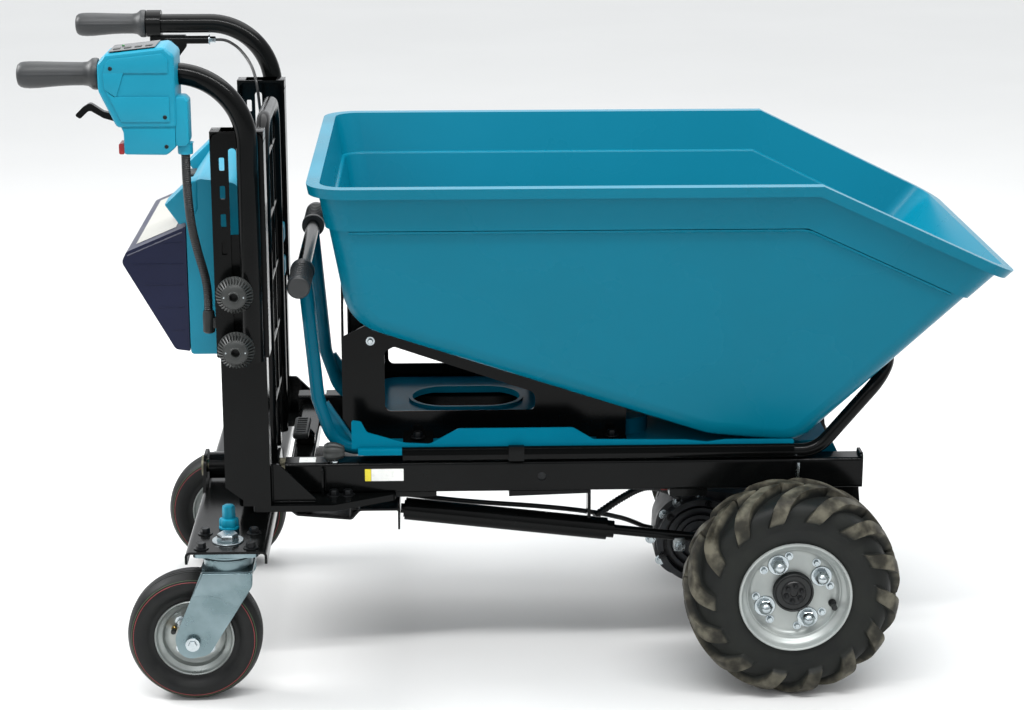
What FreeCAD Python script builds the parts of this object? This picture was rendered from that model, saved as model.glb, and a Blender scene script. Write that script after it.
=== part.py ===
import FreeCAD, Part
import math
import os
import Sketcher

# Electric wheelbarrow with a tipping bucket. Millimetres, +X forward, +Y to the machine's left, +Z up.
# The origin is on the ground, midway along the machine and midway between its wheels.

DIMENSIONS = (
    ("drive_axle_x", 417),
    ("drive_wheel_y", 290),
    ("drive_tyre_radius", 170),
    ("drive_tyre_width", 126),
    ("drive_rim_radius", 88),
    ("drive_rim_bead", 74),
    ("castor_x", -463),
    ("castor_y", 295),
    ("castor_trail", 55),
    ("castor_tyre_radius", 105),
    ("castor_tyre_width", 62),
    ("castor_rim_radius", 62),
    ("castor_rim_bead", 50),
    ("rail_y", 187),
    ("rail_width", 40),
    ("rail_height", 50),
    ("rail_bottom", 302),
    ("rail_rear", -378),
    ("rail_front", 540),
    ("tube_wall", 3),
    ("mast_x", -432),
    ("mast_depth", 70),
    ("mast_width", 34),
    ("mast_outer_y", 264),
    ("mast_top", 735),
    ("sleeve_depth", 80),
    ("sleeve_outer_y", 269),
    ("sleeve_bottom", 544),
    ("sleeve_top", 893),
    ("slot_x", -439),
    ("handle_tube", 32),
    ("handle_x", -415),
    ("handle_y", 285),
    ("handle_height", 983),
    ("handle_bend", 105),
    ("grip_end_x", -747),
    ("grip_length", 119),
    ("grip_diameter", 37),
    ("beam_x", -462),
    ("beam_depth", 126),
    ("beam_top", 257),
    ("beam_half_length", 345),
    ("tip_axis_x", 525),
    ("tip_axis_z", 262),
    ("pan_z", 379),
    ("pan_half_width", 209),
    ("pan_rear", -262),
    ("hoop_tube", 22),
    ("hoop_y", 200),
    ("rim_z", 820),
    ("bucket_rear", -309),
    ("bucket_half_width", 330),
    ("bucket_knee", 437),
    ("bucket_wall", 5),
    ("rim_width", 20),
    ("bracket_y", 141),
    ("dump_tube", 22),
    ("lid_half_width", 195),
    ("lid_wall", 4),
)

doc = FreeCAD.newDocument("electric_wheelbarrow")
sheet = doc.addObject("Spreadsheet::Sheet", "Sheet")
sheet.Label = "driving_dimensions"
for row, (alias, number) in enumerate(DIMENSIONS, start=1):
    sheet.set(f"A{row}", alias.replace("_", " "))
    sheet.set(f"B{row}", str(number))
    sheet.setAlias(f"B{row}", alias)
doc.recompute()


class Size:
    """A number together with the sheet expression that it comes from."""

    def __init__(self, value, text):
        self.value = value
        self.text = text

    def __add__(self, other):
        other = as_size(other)
        return Size(self.value + other.value, f"({self.text} + {other.text})")

    def __radd__(self, other):
        return as_size(other) + self

    def __sub__(self, other):
        other = as_size(other)
        return Size(self.value - other.value, f"({self.text} - {other.text})")

    def __rsub__(self, other):
        return as_size(other) - self

    def __mul__(self, other):
        other = as_size(other)
        return Size(self.value * other.value, f"({self.text} * {other.text})")

    def __rmul__(self, other):
        return as_size(other) * self

    def __truediv__(self, other):
        other = as_size(other)
        return Size(self.value / other.value, f"({self.text} / {other.text})")

    def __neg__(self):
        return Size(-self.value, f"(0 - {self.text})")

    def __float__(self):
        return float(self.value)

    def __lt__(self, other):
        return self.value < as_size(other).value


def as_size(number):
    """A plain number as a Size, so that both kinds mix in one formula."""
    if isinstance(number, Size):
        return number
    return Size(float(number), f"({float(number)})")


class Sheet:
    """The sheet's cells as attributes: cell.rail_height is a Size."""

    def __getattr__(self, alias):
        return Size(float(sheet.get(alias)), f"Sheet.{alias}")


cell = Sheet()
X_AXIS = FreeCAD.Vector(1, 0, 0)
Y_AXIS = FreeCAD.Vector(0, 1, 0)
Z_AXIS = FreeCAD.Vector(0, 0, 1)
RIGHT, LEFT = -1, 1
subparts = []


def point(x, y, z=0):
    """A vector from numbers or Sizes."""
    return FreeCAD.Vector(float(x), float(y), float(z))


def bind(item, path, size):
    """Ties one property of an object to the sheet."""
    item.setExpression(path, as_size(size).text)


def place(item, x=0, y=0, z=0):
    """Puts an object at a position worked out from the sheet."""
    for axis, size in (("x", x), ("y", y), ("z", z)):
        bind(item, f"Placement.Base.{axis}", size)


def keep(item, label):
    """Marks an object as a finished sub-part."""
    item.Label = label
    subparts.append(item)
    return item


def keep_group(items, label):
    """Marks like pieces of one moving body, which don't touch, as one sub-part."""
    group = doc.addObject("Part::Compound", label)
    group.Links = items
    return keep(group, label)


def new_body(name):
    return doc.addObject("PartDesign::Body", name)


def new_sketch(body, plane, height):
    """A sketch on one of the body's own origin planes, moved along that plane's world axis."""
    sketch = body.newObject("Sketcher::SketchObject", f"{body.Name}_sketch")
    role = f"{plane}_Plane"
    origin_plane = next(item for item in body.Origin.OriginFeatures if item.Role == role)
    sketch.AttachmentSupport = [(origin_plane, "")]
    sketch.MapMode = "FlatFace"
    offset = -as_size(height) if plane == "XZ" else height
    bind(sketch, "AttachmentOffset.Base.z", offset)
    return sketch


def constrain(sketch, kind, *where, size=None):
    """Adds one constraint, tied to the sheet when it has a size."""
    if size is None:
        sketch.addConstraint(Sketcher.Constraint(kind, *where))
        return
    index = sketch.addConstraint(Sketcher.Constraint(kind, *where, float(size)))
    bind(sketch, f"Constraints[{index}]", size)


def disc(x, y, diameter):
    """A round outline."""
    return {"centre": (x, y), "diameter": diameter}


def box(x_low, x_high, y_low, y_high, radius=0):
    """A rectangular outline, with rounded corners if a radius is given."""
    corners = ((x_low, y_low), (x_high, y_low), (x_high, y_high), (x_low, y_high))
    return [(x, y, radius) for x, y in corners]


def draw_disc(sketch, outline):
    x, y = outline["centre"]
    radius = as_size(outline["diameter"]) / 2
    circle = sketch.addGeometry(Part.Circle(point(x, y), Z_AXIS, float(radius)), False)
    constrain(sketch, "DistanceX", -1, 1, circle, 3, size=x)
    constrain(sketch, "DistanceY", -1, 1, circle, 3, size=y)
    constrain(sketch, "Radius", circle, size=radius)


def rounding(before, corner, after, radius):
    """Start, end and centre of the arc that rounds a corner."""
    back = (before - corner).normalize()
    ahead = (after - corner).normalize()
    half_angle = back.getAngle(ahead) / 2
    start = corner + back * (radius / math.tan(half_angle))
    end = corner + ahead * (radius / math.tan(half_angle))
    centre = corner + (back + ahead).normalize() * (radius / math.sin(half_angle))
    return start, end, centre


def draw_corners(sketch, corners):
    """A closed outline through corners (x, y) or (x, y, radius), every one tied to the sheet."""
    spots = [point(corner[0], corner[1]) for corner in corners]
    radii = [as_size(corner[2]) if len(corner) > 2 else as_size(0) for corner in corners]
    count = len(corners)
    arcs = []
    for index, spot in enumerate(spots):
        following = spots[(index + 1) % count]
        if float(radii[index]) > 0:
            arcs.append(rounding(spots[index - 1], spot, following, float(radii[index])))
        else:
            arcs.append((spot, spot, None))
    lines = []
    for index in range(count):
        line = Part.LineSegment(arcs[index][1], arcs[(index + 1) % count][0])
        lines.append(sketch.addGeometry(line, False))
    for index, corner in enumerate(corners):
        before, after = lines[index - 1], lines[index]
        start, end, centre = arcs[index]
        if centre is None:
            constrain(sketch, "Coincident", before, 2, after, 1)
            anchor = after
        else:
            from_angle = math.atan2(start.y - centre.y, start.x - centre.x)
            to_angle = math.atan2(end.y - centre.y, end.x - centre.x)
            turns_left = (to_angle - from_angle) % (2 * math.pi) < math.pi
            if not turns_left:
                from_angle, to_angle = to_angle, from_angle
            circle = Part.Circle(centre, Z_AXIS, float(radii[index]))
            arc = sketch.addGeometry(Part.ArcOfCircle(circle, from_angle, to_angle), False)
            anchor = sketch.addGeometry(Part.Point(spots[index]), True)
            first, last = (1, 2) if turns_left else (2, 1)
            constrain(sketch, "Tangent", before, 2, arc, first)
            constrain(sketch, "Tangent", arc, last, after, 1)
            constrain(sketch, "PointOnObject", anchor, 1, before)
            constrain(sketch, "PointOnObject", anchor, 1, after)
            constrain(sketch, "Radius", arc, size=radii[index])
        constrain(sketch, "DistanceX", -1, 1, anchor, 1, size=corner[0])
        constrain(sketch, "DistanceY", -1, 1, anchor, 1, size=corner[1])


def draw(sketch, outlines):
    for outline in outlines:
        if isinstance(outline, dict):
            draw_disc(sketch, outline)
        else:
            draw_corners(sketch, outline)


def add_slab(body, plane, low, high, *outlines):
    """Adds material between two heights over a plane: the first outline, less the others."""
    sketch = new_sketch(body, plane, high if plane == "XZ" else low)
    draw(sketch, outlines)
    pad = body.newObject("PartDesign::Pad", f"{body.Name}_pad")
    pad.Profile = sketch
    bind(pad, "Length", as_size(high) - low)
    return pad


def cut_slab(body, plane, low, high, *outlines):
    """Removes the outlines between two heights over a plane."""
    sketch = new_sketch(body, plane, low if plane == "XZ" else high)
    draw(sketch, outlines)
    pocket = body.newObject("PartDesign::Pocket", f"{body.Name}_pocket")
    pocket.Profile = sketch
    bind(pocket, "Length", as_size(high) - low)
    return pocket


def turn_round(body, plane, axis, *outlines):
    """Revolves outlines about the sketch's own H_Axis or V_Axis."""
    sketch = new_sketch(body, plane, 0)
    draw(sketch, outlines)
    revolution = body.newObject("PartDesign::Revolution", f"{body.Name}_turned")
    revolution.Profile = sketch
    revolution.ReferenceAxis = (sketch, [axis])
    revolution.Angle = 360
    return revolution


def cut_round(body, plane, axis, *outlines):
    """Removes what the outlines sweep about the sketch's own H_Axis or V_Axis."""
    sketch = new_sketch(body, plane, 0)
    draw(sketch, outlines)
    groove = body.newObject("PartDesign::Groove", f"{body.Name}_groove")
    groove.Profile = sketch
    groove.ReferenceAxis = (sketch, [axis])
    groove.Angle = 360
    return groove


def repeat_round(body, feature, axis, count):
    """Repeats a feature about an axis of its sketch, 'N_Axis' being the sketch's normal."""
    pattern = body.newObject("PartDesign::PolarPattern", f"{body.Name}_pattern")
    pattern.Originals = [feature]
    pattern.Axis = (feature.Profile[0], [axis])
    pattern.Angle = 360
    pattern.Occurrences = count
    body.Tip = pattern
    return pattern


def plate(name, plane, low, high, *outlines):
    """A body of one slab."""
    body = new_body(name)
    add_slab(body, plane, low, high, *outlines)
    return body


def span(side, inner, outer):
    """The two Y values of a piece on the right or left side, lower one first."""
    return sorted((as_size(inner) * side, as_size(outer) * side))


def combine(kind, name, items):
    """A Part boolean of several objects: Part::MultiFuse or Part::MultiCommon."""
    result = doc.addObject(kind, name)
    result.Shapes = items
    return result


def difference(name, base, tool):
    result = doc.addObject("Part::Cut", name)
    result.Base = base
    result.Tool = tool
    return result


def bent_path(corners, radius):
    """A wire of straight runs joined by tangent arcs of one radius."""
    spots = [point(*corner) for corner in corners]
    edges = []
    last = spots[0]
    for before, spot, after in zip(spots, spots[1:], spots[2:]):
        start, end, centre = rounding(before, spot, after, float(radius))
        middle = centre + (spot - centre).normalize() * float(radius)
        edges.append(Part.LineSegment(last, start).toShape())
        edges.append(Part.Arc(start, middle, end).toShape())
        last = end
    edges.append(Part.LineSegment(last, spots[-1]).toShape())
    return Part.Wire(edges)


def swept(path, diameter):
    """A round bar along a path."""
    start = path.Edges[0].firstVertex().Point
    heading = path.Edges[0].tangentAt(path.Edges[0].FirstParameter)
    section = Part.Wire(Part.makeCircle(float(diameter) / 2, start, heading))
    return path.makePipeShell([section], True, True)


def bent_tube(name, corners, radius, outer, wall=None):
    """A bent tube or bar through corners; its sizes are read from the sheet by the caller."""
    path = bent_path(corners, radius)
    shape = swept(path, outer)
    if wall is not None:
        shape = shape.cut(swept(path, float(outer) - 2 * float(wall)))
    item = doc.addObject("Part::Feature", name)
    item.Shape = shape
    return item


# ---- Frame: two rails, their cross members and the masts that carry the handles ----

# The stay under the right rail falls evenly from its rear end to the front end of its sleeve.
STAY_Y = -150
STAY_REAR = (-190, 255.5)
STAY_FRONT = (136, 217)


def stay_height(x):
    """Height of the stay's middle line at x."""
    fall = (STAY_REAR[1] - STAY_FRONT[1]) / (STAY_FRONT[0] - STAY_REAR[0])
    return STAY_REAR[1] - fall * (x - STAY_REAR[0])


def rails():
    """Rectangular steel tubes with a capped front end whose lip stops the bed from sliding on."""
    top = cell.rail_bottom + cell.rail_height
    pair = []
    for side, name in ((RIGHT, "rail_right"), (LEFT, "rail_left")):
        body = new_body(name)
        low, high = span(side, cell.rail_y - cell.rail_width / 2, cell.rail_y + cell.rail_width / 2)
        outside = box(low, high, cell.rail_bottom, top, 5)
        wall = cell.tube_wall
        inside = box(low + wall, high - wall, cell.rail_bottom + wall, top - wall, 2)
        add_slab(body, "YZ", cell.rail_rear, cell.rail_front, outside, inside)
        lip = box(low, high, cell.rail_bottom, top + 7, 8)
        add_slab(body, "YZ", cell.rail_front - 4, cell.rail_front, lip)
        accessory_hole = disc(28, cell.rail_bottom + cell.rail_height / 2, 14)
        cut_slab(body, "XZ", low - 1, high + 1, accessory_hole)
        pair.append(body)
    keep_group(pair, "rails")


def cross_members():
    """Shallow capped channels welded under the rails, a tube across the rear and the stay's hanger."""
    reach = cell.rail_y + cell.rail_width / 2 - 3
    wall = cell.tube_wall
    top = cell.rail_bottom
    pieces = []
    for index, (rear, front, rear_drop, front_drop) in enumerate((
        (-203, -139, 8, 8),
        (-24, 104, 9, 5),
        (232, 292, 12, 12),
    )):
        body = new_body(f"channel_{index}")
        add_slab(body, "XZ", -reach, reach, [
            (rear, top - rear_drop),
            (rear, top),
            (front, top),
            (front, top - front_drop),
            (front - wall, top - front_drop),
            (front - wall, top - wall),
            (rear + wall, top - wall),
            (rear + wall, top - rear_drop),
        ])
        for side in (RIGHT, LEFT):
            low, high = span(side, reach - wall, reach)
            add_slab(body, "XZ", low, high, [
                (rear, top - rear_drop, 2),
                (rear, top),
                (front, top),
                (front, top - front_drop, 2),
            ])
        pieces.append(body)
    hanger_x = 104
    hanger = plate("stay_hanger", "YZ", hanger_x, hanger_x + 5, [
        (STAY_Y - 16, top),
        (STAY_Y - 20, stay_height(hanger_x) + 19, 6),
        (STAY_Y + 20, stay_height(hanger_x) + 19, 6),
        (STAY_Y + 16, top),
    ])
    pieces[1] = combine("Part::MultiFuse", "channel_with_hanger", [pieces[1], hanger])
    inner = cell.rail_y - cell.rail_width / 2
    rear_tube = plate(
        "rear_tube", "XZ", -inner, inner,
        box(-372, -336, 304, 338, 5),
        box(-369, -339, 307, 335, 2),
    )
    keep_group([*pieces, rear_tube], "cross_members")


def masts():
    """Channels standing on the sill, open towards each other, with a cut-off lower rear corner."""
    rear = cell.mast_x - cell.mast_depth / 2
    front = cell.mast_x + cell.mast_depth / 2
    inner = cell.mast_outer_y - cell.mast_width
    bottom = cell.rail_bottom
    wall = cell.tube_wall
    pair = []
    for side, name in ((RIGHT, "mast_right"), (LEFT, "mast_left")):
        body = new_body(name)
        low, high = span(side, inner, cell.mast_outer_y)
        add_slab(body, "XZ", low, high, [
            (rear, bottom + 31),
            (rear, cell.mast_top, 3),
            (front, cell.mast_top, 3),
            (front, bottom),
            (rear + 27, bottom),
            (rear + 27, bottom + 10),
        ])
        hollow_low, hollow_high = span(side, inner - 1, cell.mast_outer_y - wall)
        cut_slab(body, "XZ", hollow_low, hollow_high, [
            (rear + wall, bottom + 32),
            (rear + wall, cell.mast_top + 1),
            (front - wall, cell.mast_top + 1),
            (front - wall, bottom - 1),
            (rear + 27 + wall, bottom - 1),
            (rear + 27 + wall, bottom + 12),
        ])
        pair.append(body)
    keep_group(pair, "masts")


def mast_feet():
    """Sill plates that join rails and masts, each with a gusset in the corner of its mast."""
    front = cell.mast_x + cell.mast_depth / 2
    inner = cell.rail_y - 5
    bottom = cell.rail_bottom
    pair = []
    for side, name in ((RIGHT, "mast_foot_right"), (LEFT, "mast_foot_left")):
        body = new_body(name)
        near, far = inner * side, cell.mast_outer_y * side
        add_slab(body, "XY", bottom - 10, bottom, [
            (-425, near),
            (-425, far, 6),
            (-300, far, 12),
            (-204, cell.mast_outer_y * side - 50 * side, 10),
            (-204, near),
        ][::side])
        low, high = span(side, 243, 249)
        add_slab(body, "XZ", low, high, [
            (front, bottom - 1),
            (front, bottom + 63, 3),
            (front + 12, bottom + 63, 8),
            (front + 69, bottom + 6, 4),
            (front + 69, bottom - 1),
        ])
        pair.append(body)
    keep_group(pair, "mast_feet")


def mast_tie():
    """Box tube across the bottom of the masts, with the bearing sleeve of the rocking castor beam."""
    inner = cell.rail_y - cell.rail_width / 2
    bottom = cell.beam_top + 11
    body = new_body("mast_tie")
    add_slab(body, "XZ", -inner, inner, box(-455, -408, bottom, cell.rail_bottom, 5))
    cut_slab(body, "XZ", -inner - 1, inner + 1, box(-452, -411, bottom + 3, cell.rail_bottom - 3, 2))
    add_slab(body, "YZ", -517, -406, disc(0, cell.beam_top + 26, 44))
    cut_slab(body, "YZ", -518, -394, disc(0, cell.beam_top + 26, 23))
    keep(body, "mast_tie")


def castor_beam():
    """Channel across the machine, open downwards, with two bearing cheeks for its pivot."""
    rear = cell.beam_x - cell.beam_depth / 2
    front = cell.beam_x + cell.beam_depth / 2
    top = cell.beam_top
    wall = 4
    reach = cell.beam_half_length
    body = new_body("castor_beam")
    add_slab(body, "XZ", -reach, reach, [
        (rear, top - 20),
        (rear, top, 8),
        (front, top, 8),
        (front, top - 20),
        (front - wall, top - 20),
        (front - wall, top - wall, 4),
        (rear + wall, top - wall, 4),
        (rear + wall, top - 20),
    ])
    for low in (rear, front - 5):
        add_slab(body, "YZ", low, low + 5, [
            (-62, top - 15),
            (-26, top + 50, 24),
            (26, top + 50, 24),
            (62, top - 15),
        ])
        cut_slab(body, "YZ", low - 1, low + 6, disc(0, top + 26, 22.4))
    holes = [disc(cell.castor_x, cell.castor_y * side, 22) for side in (RIGHT, LEFT)]
    cut_slab(body, "XY", top - wall - 1, top + 1, *holes)
    keep(body, "castor_beam")


def beam_pivot():
    """Turned pin along the machine that the castor beam rocks on, with a plated head at the rear."""
    body = new_body("beam_pivot")
    height = cell.beam_top + 26
    rear = cell.beam_x - cell.beam_depth / 2
    add_slab(body, "YZ", rear - 5, -390, disc(0, height, 22))
    add_slab(body, "YZ", rear - 5, rear, disc(0, height, 34))
    keep(body, "beam_pivot")


def castor_plates():
    """Each castor's fixed plate with its ball race cup and kingpin, bolted under the beam."""
    plates = []
    under = cell.beam_top - 4
    for side, name in ((RIGHT, "castor_plate_right"), (LEFT, "castor_plate_left")):
        body = new_body(name)
        middle = cell.castor_y * side
        half = 50
        square = box(cell.castor_x - half, cell.castor_x + half, middle - half, middle + half, 10)
        add_slab(body, "XY", under - 6, under, square)
        add_slab(body, "XY", under - 15, under - 5, disc(cell.castor_x, middle, 68))
        add_slab(body, "XY", under - 42, under + 4, disc(cell.castor_x, middle, 20))
        add_slab(body, "XY", under + 4, under + 7, disc(cell.castor_x, middle, 34))
        add_slab(body, "XY", under + 6, under + 15, disc(cell.castor_x, middle, 26))
        add_slab(body, "XY", under - 50, under - 42, disc(cell.castor_x, middle, 32))
        plates.append(body)
    keep_group(plates, "castor_plates")


def lock_knobs():
    """Moulded knobs on the beam that lock the castors straight."""
    knobs = []
    for side, name in ((RIGHT, "lock_knob_right"), (LEFT, "lock_knob_left")):
        body = new_body(name)
        turn_round(body, "XZ", "V_Axis", [
            (0, 0),
            (15, 0),
            (15, 5, 2),
            (9, 10, 2),
            (9, 20, 3),
            (14, 24, 2),
            (14, 36, 4),
            (0, 38),
        ])
        place(body, -466, 235 * side, cell.beam_top)
        knobs.append(body)
    keep_group(knobs, "lock_knobs")


# ---- Battery housing behind the masts ----

def battery_housing():
    """Moulded housing open to the rear, where the lid closes it, hollow for the packs."""
    half = cell.lid_half_width
    body = new_body("battery_housing")
    add_slab(body, "XZ", -half, half, [
        (-519.5, 530, 6),
        (-434, 530, 14),
        (-434, 800, 20),
        (-500, 808, 12),
        (-536, 758, 6),
        (-519.5, 737),
    ])
    wall = cell.lid_wall
    cut_slab(body, "XZ", -half + wall, half - wall, [
        (-530, 530 + wall),
        (-434 - wall, 530 + wall, 10),
        (-434 - wall, 730, 10),
        (-530, 730),
    ])
    for low in (560, 618):
        for side in (RIGHT, LEFT):
            near, far = span(side, half - 1, cell.mast_outer_y - cell.mast_width)
            depth = cell.mast_depth / 2
            add_slab(body, "XZ", near, far, box(cell.mast_x - depth + 10, cell.mast_x + depth, low, low + 30, 4))
    keep(body, "battery_housing")


def battery_packs():
    """Two plain battery packs side by side on the housing's front wall."""
    packs = []
    for index, middle in enumerate((-92, 92)):
        body = new_body(f"battery_pack_{index}")
        add_slab(body, "XZ", middle - 60, middle + 60, [
            (-512, 560, 12),
            (-438, 560, 4),
            (-438, 704, 4),
            (-512, 704, 24),
        ])
        packs.append(body)
    keep_group(packs, "battery_packs")


def battery_lid():
    """Sloping cover of the battery bay: a thin shell that swings down about its lower edge."""
    half = cell.lid_half_width
    wall = cell.lid_wall
    body = new_body("battery_lid")
    add_slab(body, "XZ", -half, half, [
        (-521, 535),
        (-543, 538, 10),
        (-621, 678, 12),
        (-613, 694, 10),
        (-521, 733),
    ])
    cut_slab(body, "XZ", -half + wall, half - wall, [
        (-520, 535 + wall),
        (-541, 538 + wall, 7),
        (-616, 677, 9),
        (-610, 689, 7),
        (-520, 733 - wall - 1),
    ])
    keep(body, "battery_lid")


def guard():
    """Welded grille between the masts: a bent tube with rods and bars across it."""
    depth = -405
    reach = 129
    top = 880
    floor = cell.rail_bottom
    hoop = bent_tube(
        "guard_hoop",
        ((depth, -reach, floor), (depth, -reach, top), (depth, reach, top), (depth, reach, floor)),
        60, cell.hoop_tube,
    )
    pieces = [hoop]
    for offset in (-45, 45):
        rod = doc.addObject("Part::Cylinder", "guard_rod")
        rod.Radius = 4
        bind(rod, "Height", top - cell.rail_bottom)
        place(rod, depth, offset, cell.rail_bottom)
        pieces.append(rod)
    for level in range(5):
        bar = doc.addObject("Part::Cylinder", "guard_bar")
        bar.Radius = 4
        bar.Height = 2 * reach
        bar.Placement.Rotation = FreeCAD.Rotation(X_AXIS, -90)
        place(bar, depth, -reach, 403 + 103 * level)
        pieces.append(bar)
    keep(combine("Part::MultiFuse", "guard", pieces), "guard")


# ---- Drive unit and front axle ----

def axle_housing():
    """Tube across the machine that carries both wheel spindles."""
    body = new_body("axle_housing")
    add_slab(body, "XZ", -205, 205, disc(cell.drive_axle_x, cell.drive_tyre_radius, 52))
    for side in (RIGHT, LEFT):
        low, high = span(side, 197, 205)
        add_slab(body, "XZ", low, high, disc(cell.drive_axle_x, cell.drive_tyre_radius, 84))
        low, high = span(side, 204, cell.drive_wheel_y + 16)
        add_slab(body, "XZ", low, high, disc(cell.drive_axle_x, cell.drive_tyre_radius, 24))
    keep(body, "axle_housing")


def axle_brackets():
    """Plates that hang the axle tube under the rails, each with a bolting flange."""
    pair = []
    for side, name in ((RIGHT, "axle_bracket_right"), (LEFT, "axle_bracket_left")):
        body = new_body(name)
        axle = disc(cell.drive_axle_x, cell.drive_tyre_radius, 52)
        low, high = span(side, 180, 188)
        add_slab(body, "XZ", low, high, [
            (372, cell.rail_bottom - 1),
            (462, cell.rail_bottom - 1),
            (462, 262, 20),
            (452, 132, 32),
            (382, 132, 32),
            (372, 262, 20),
        ], axle)
        low, high = span(side, cell.rail_y - cell.rail_width / 2, cell.rail_y + cell.rail_width / 2)
        add_slab(body, "XY", cell.rail_bottom - 6, cell.rail_bottom, box(366, 468, low, high, 6))
        pair.append(body)
    keep_group(pair, "axle_brackets")


def gear_case():
    """Cast reduction gear case from the motor to the axle, with a round cover turned in steps."""
    motor_x, motor_z = 300, 163
    ahead = cell.drive_axle_x - motor_x
    above = cell.drive_tyre_radius - motor_z
    body = new_body("gear_case")
    add_slab(body, "XZ", -52, 10, [
        (-74, 59, 50),
        (0, 83, 60),
        (ahead + 30, above + 62, 40),
        (ahead + 62, above, 50),
        (ahead + 20, above - 66, 40),
        (0, -81, 60),
        (-76, -51, 50),
    ], disc(ahead, above, 52))
    for outer, inner, face in ((146, 126, -70), (112, 100, -62), (86, 74, -62)):
        add_slab(body, "XZ", face, -51, disc(0, 0, outer), disc(0, 0, inner))
    add_slab(body, "XZ", -58, -51, disc(0, 0, 64))
    add_slab(body, "XZ", -66, -57, disc(0, 0, 40))
    place(body, motor_x, 0, motor_z)
    keep(body, "gear_case")


def drive_motor():
    """Round motor bolted to the gear case, with cooling grooves about its barrel."""
    body = new_body("drive_motor")
    turn_round(body, "XZ", "V_Axis", [
        (0, 0),
        (58, 0),
        (58, 118, 6),
        (40, 128, 4),
        (40, 140, 6),
        (0, 140),
    ])
    for level in range(6):
        low = 20 + 15 * level
        cut_round(body, "XZ", "V_Axis", [(54, low), (60, low), (60, low + 7), (54, low + 7)])
    body.Placement = FreeCAD.Placement(point(300, 10, 163), FreeCAD.Rotation(X_AXIS, -90))
    keep(body, "drive_motor")


def stay():
    """Steering stay under the right rail: a sleeve with a rod that reaches the axle housing."""
    rear = point(STAY_REAR[0], STAY_Y, STAY_REAR[1])
    middle = point(STAY_FRONT[0], STAY_Y, STAY_FRONT[1])
    direction = (middle - rear).normalize()
    turn = FreeCAD.Rotation(X_AXIS, direction)
    sleeve = new_body("stay_sleeve")
    add_slab(sleeve, "YZ", 0, (middle - rear).Length, disc(0, 0, 36), disc(0, 0, 28))
    sleeve.Placement = FreeCAD.Placement(rear, turn)
    keep(sleeve, "stay_sleeve")
    rod = new_body("stay_rod")
    add_slab(rod, "YZ", -7, 584, disc(0, 0, 16))
    add_slab(rod, "YZ", 240, 340, disc(0, 0, 27.9))
    add_slab(rod, "YZ", -2, 14, disc(0, 0, 27.9))
    rod.Placement = FreeCAD.Placement(rear, turn)
    keep(rod, "stay_rod")


def under_tray():
    """Folded tray under the rear of the rails that carries the rear end of the stay."""
    half = cell.rail_y - cell.rail_width / 2 + 12
    body = new_body("under_tray")
    add_slab(body, "XZ", -half, half, [
        (-380, 302),
        (-380, 269, 8),
        (-363, 255, 8),
        (-275, 247, 8),
        (-262, 262, 6),
        (-201.5, 262, 2),
        (-201.5, 230),
        (-198, 230),
        (-198, 265.5, 3),
        (-264, 265.5, 4),
        (-277, 250.5, 6),
        (-362, 258.5, 6),
        (-376.5, 270.5, 6),
        (-376.5, 302),
    ])
    keep(body, "under_tray")


# ---- Tipping hinge, clamps and latch ----

def hinge_brackets():
    """Plates inside the rails' front ends that hold the tipping pin."""
    inner = cell.rail_y - cell.rail_width / 2
    pair = []
    for side, name in ((RIGHT, "hinge_bracket_right"), (LEFT, "hinge_bracket_left")):
        body = new_body(name)
        low, high = span(side, inner - 8, inner)
        add_slab(body, "XZ", low, high, [
            (490, cell.rail_bottom + 44, 6),
            (536, cell.rail_bottom + 44, 6),
            (545, cell.tip_axis_z, 18),
            (536, cell.tip_axis_z - 20, 16),
            (514, cell.tip_axis_z - 20, 16),
            (505, cell.tip_axis_z, 18),
        ], disc(cell.tip_axis_x, cell.tip_axis_z, 16))
        pair.append(body)
    keep_group(pair, "hinge_brackets")


def hinge_pin():
    """Pin across the machine that the bed tips on, with a head at each end."""
    half = cell.rail_y - cell.rail_width / 2 + 2
    body = new_body("hinge_pin")
    add_slab(body, "XZ", -half, half, disc(cell.tip_axis_x, cell.tip_axis_z, 16))
    for side in (RIGHT, LEFT):
        low, high = span(side, half - 1, half + 6)
        add_slab(body, "XZ", low, high, disc(cell.tip_axis_x, cell.tip_axis_z, 25))
    keep(body, "hinge_pin")


def clamp_knobs():
    """Four ribbed knobs whose studs pass through the slots and clamp the handles to the masts."""
    ridges = 28
    knobs = []
    for side, name in ((RIGHT, "clamp_knob_right"), (LEFT, "clamp_knob_left")):
        for index, height in enumerate((566, 652)):
            body = new_body(f"{name}_{index}")
            turn_round(body, "XZ", "V_Axis", [
                (0, 0),
                (4, 0),
                (4, 5.5),
                (7.5, 5.5),
                (7.5, 37),
                (25, 37, 3),
                (26, 52, 5),
                (20, 59, 8),
                (10, 60),
                (9, 55),
                (0, 55),
            ])
            ridge = add_slab(body, "XY", 39, 55, disc(25.8, 0, 3.2))
            repeat_round(body, ridge, "N_Axis", ridges)
            turn = FreeCAD.Rotation(X_AXIS, 90 if side == RIGHT else -90)
            body.Placement = FreeCAD.Placement(point(0, 0), turn)
            place(body, cell.slot_x, cell.mast_outer_y * side, height)
            knobs.append(body)
    keep_group(knobs, "clamp_knobs")


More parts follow.
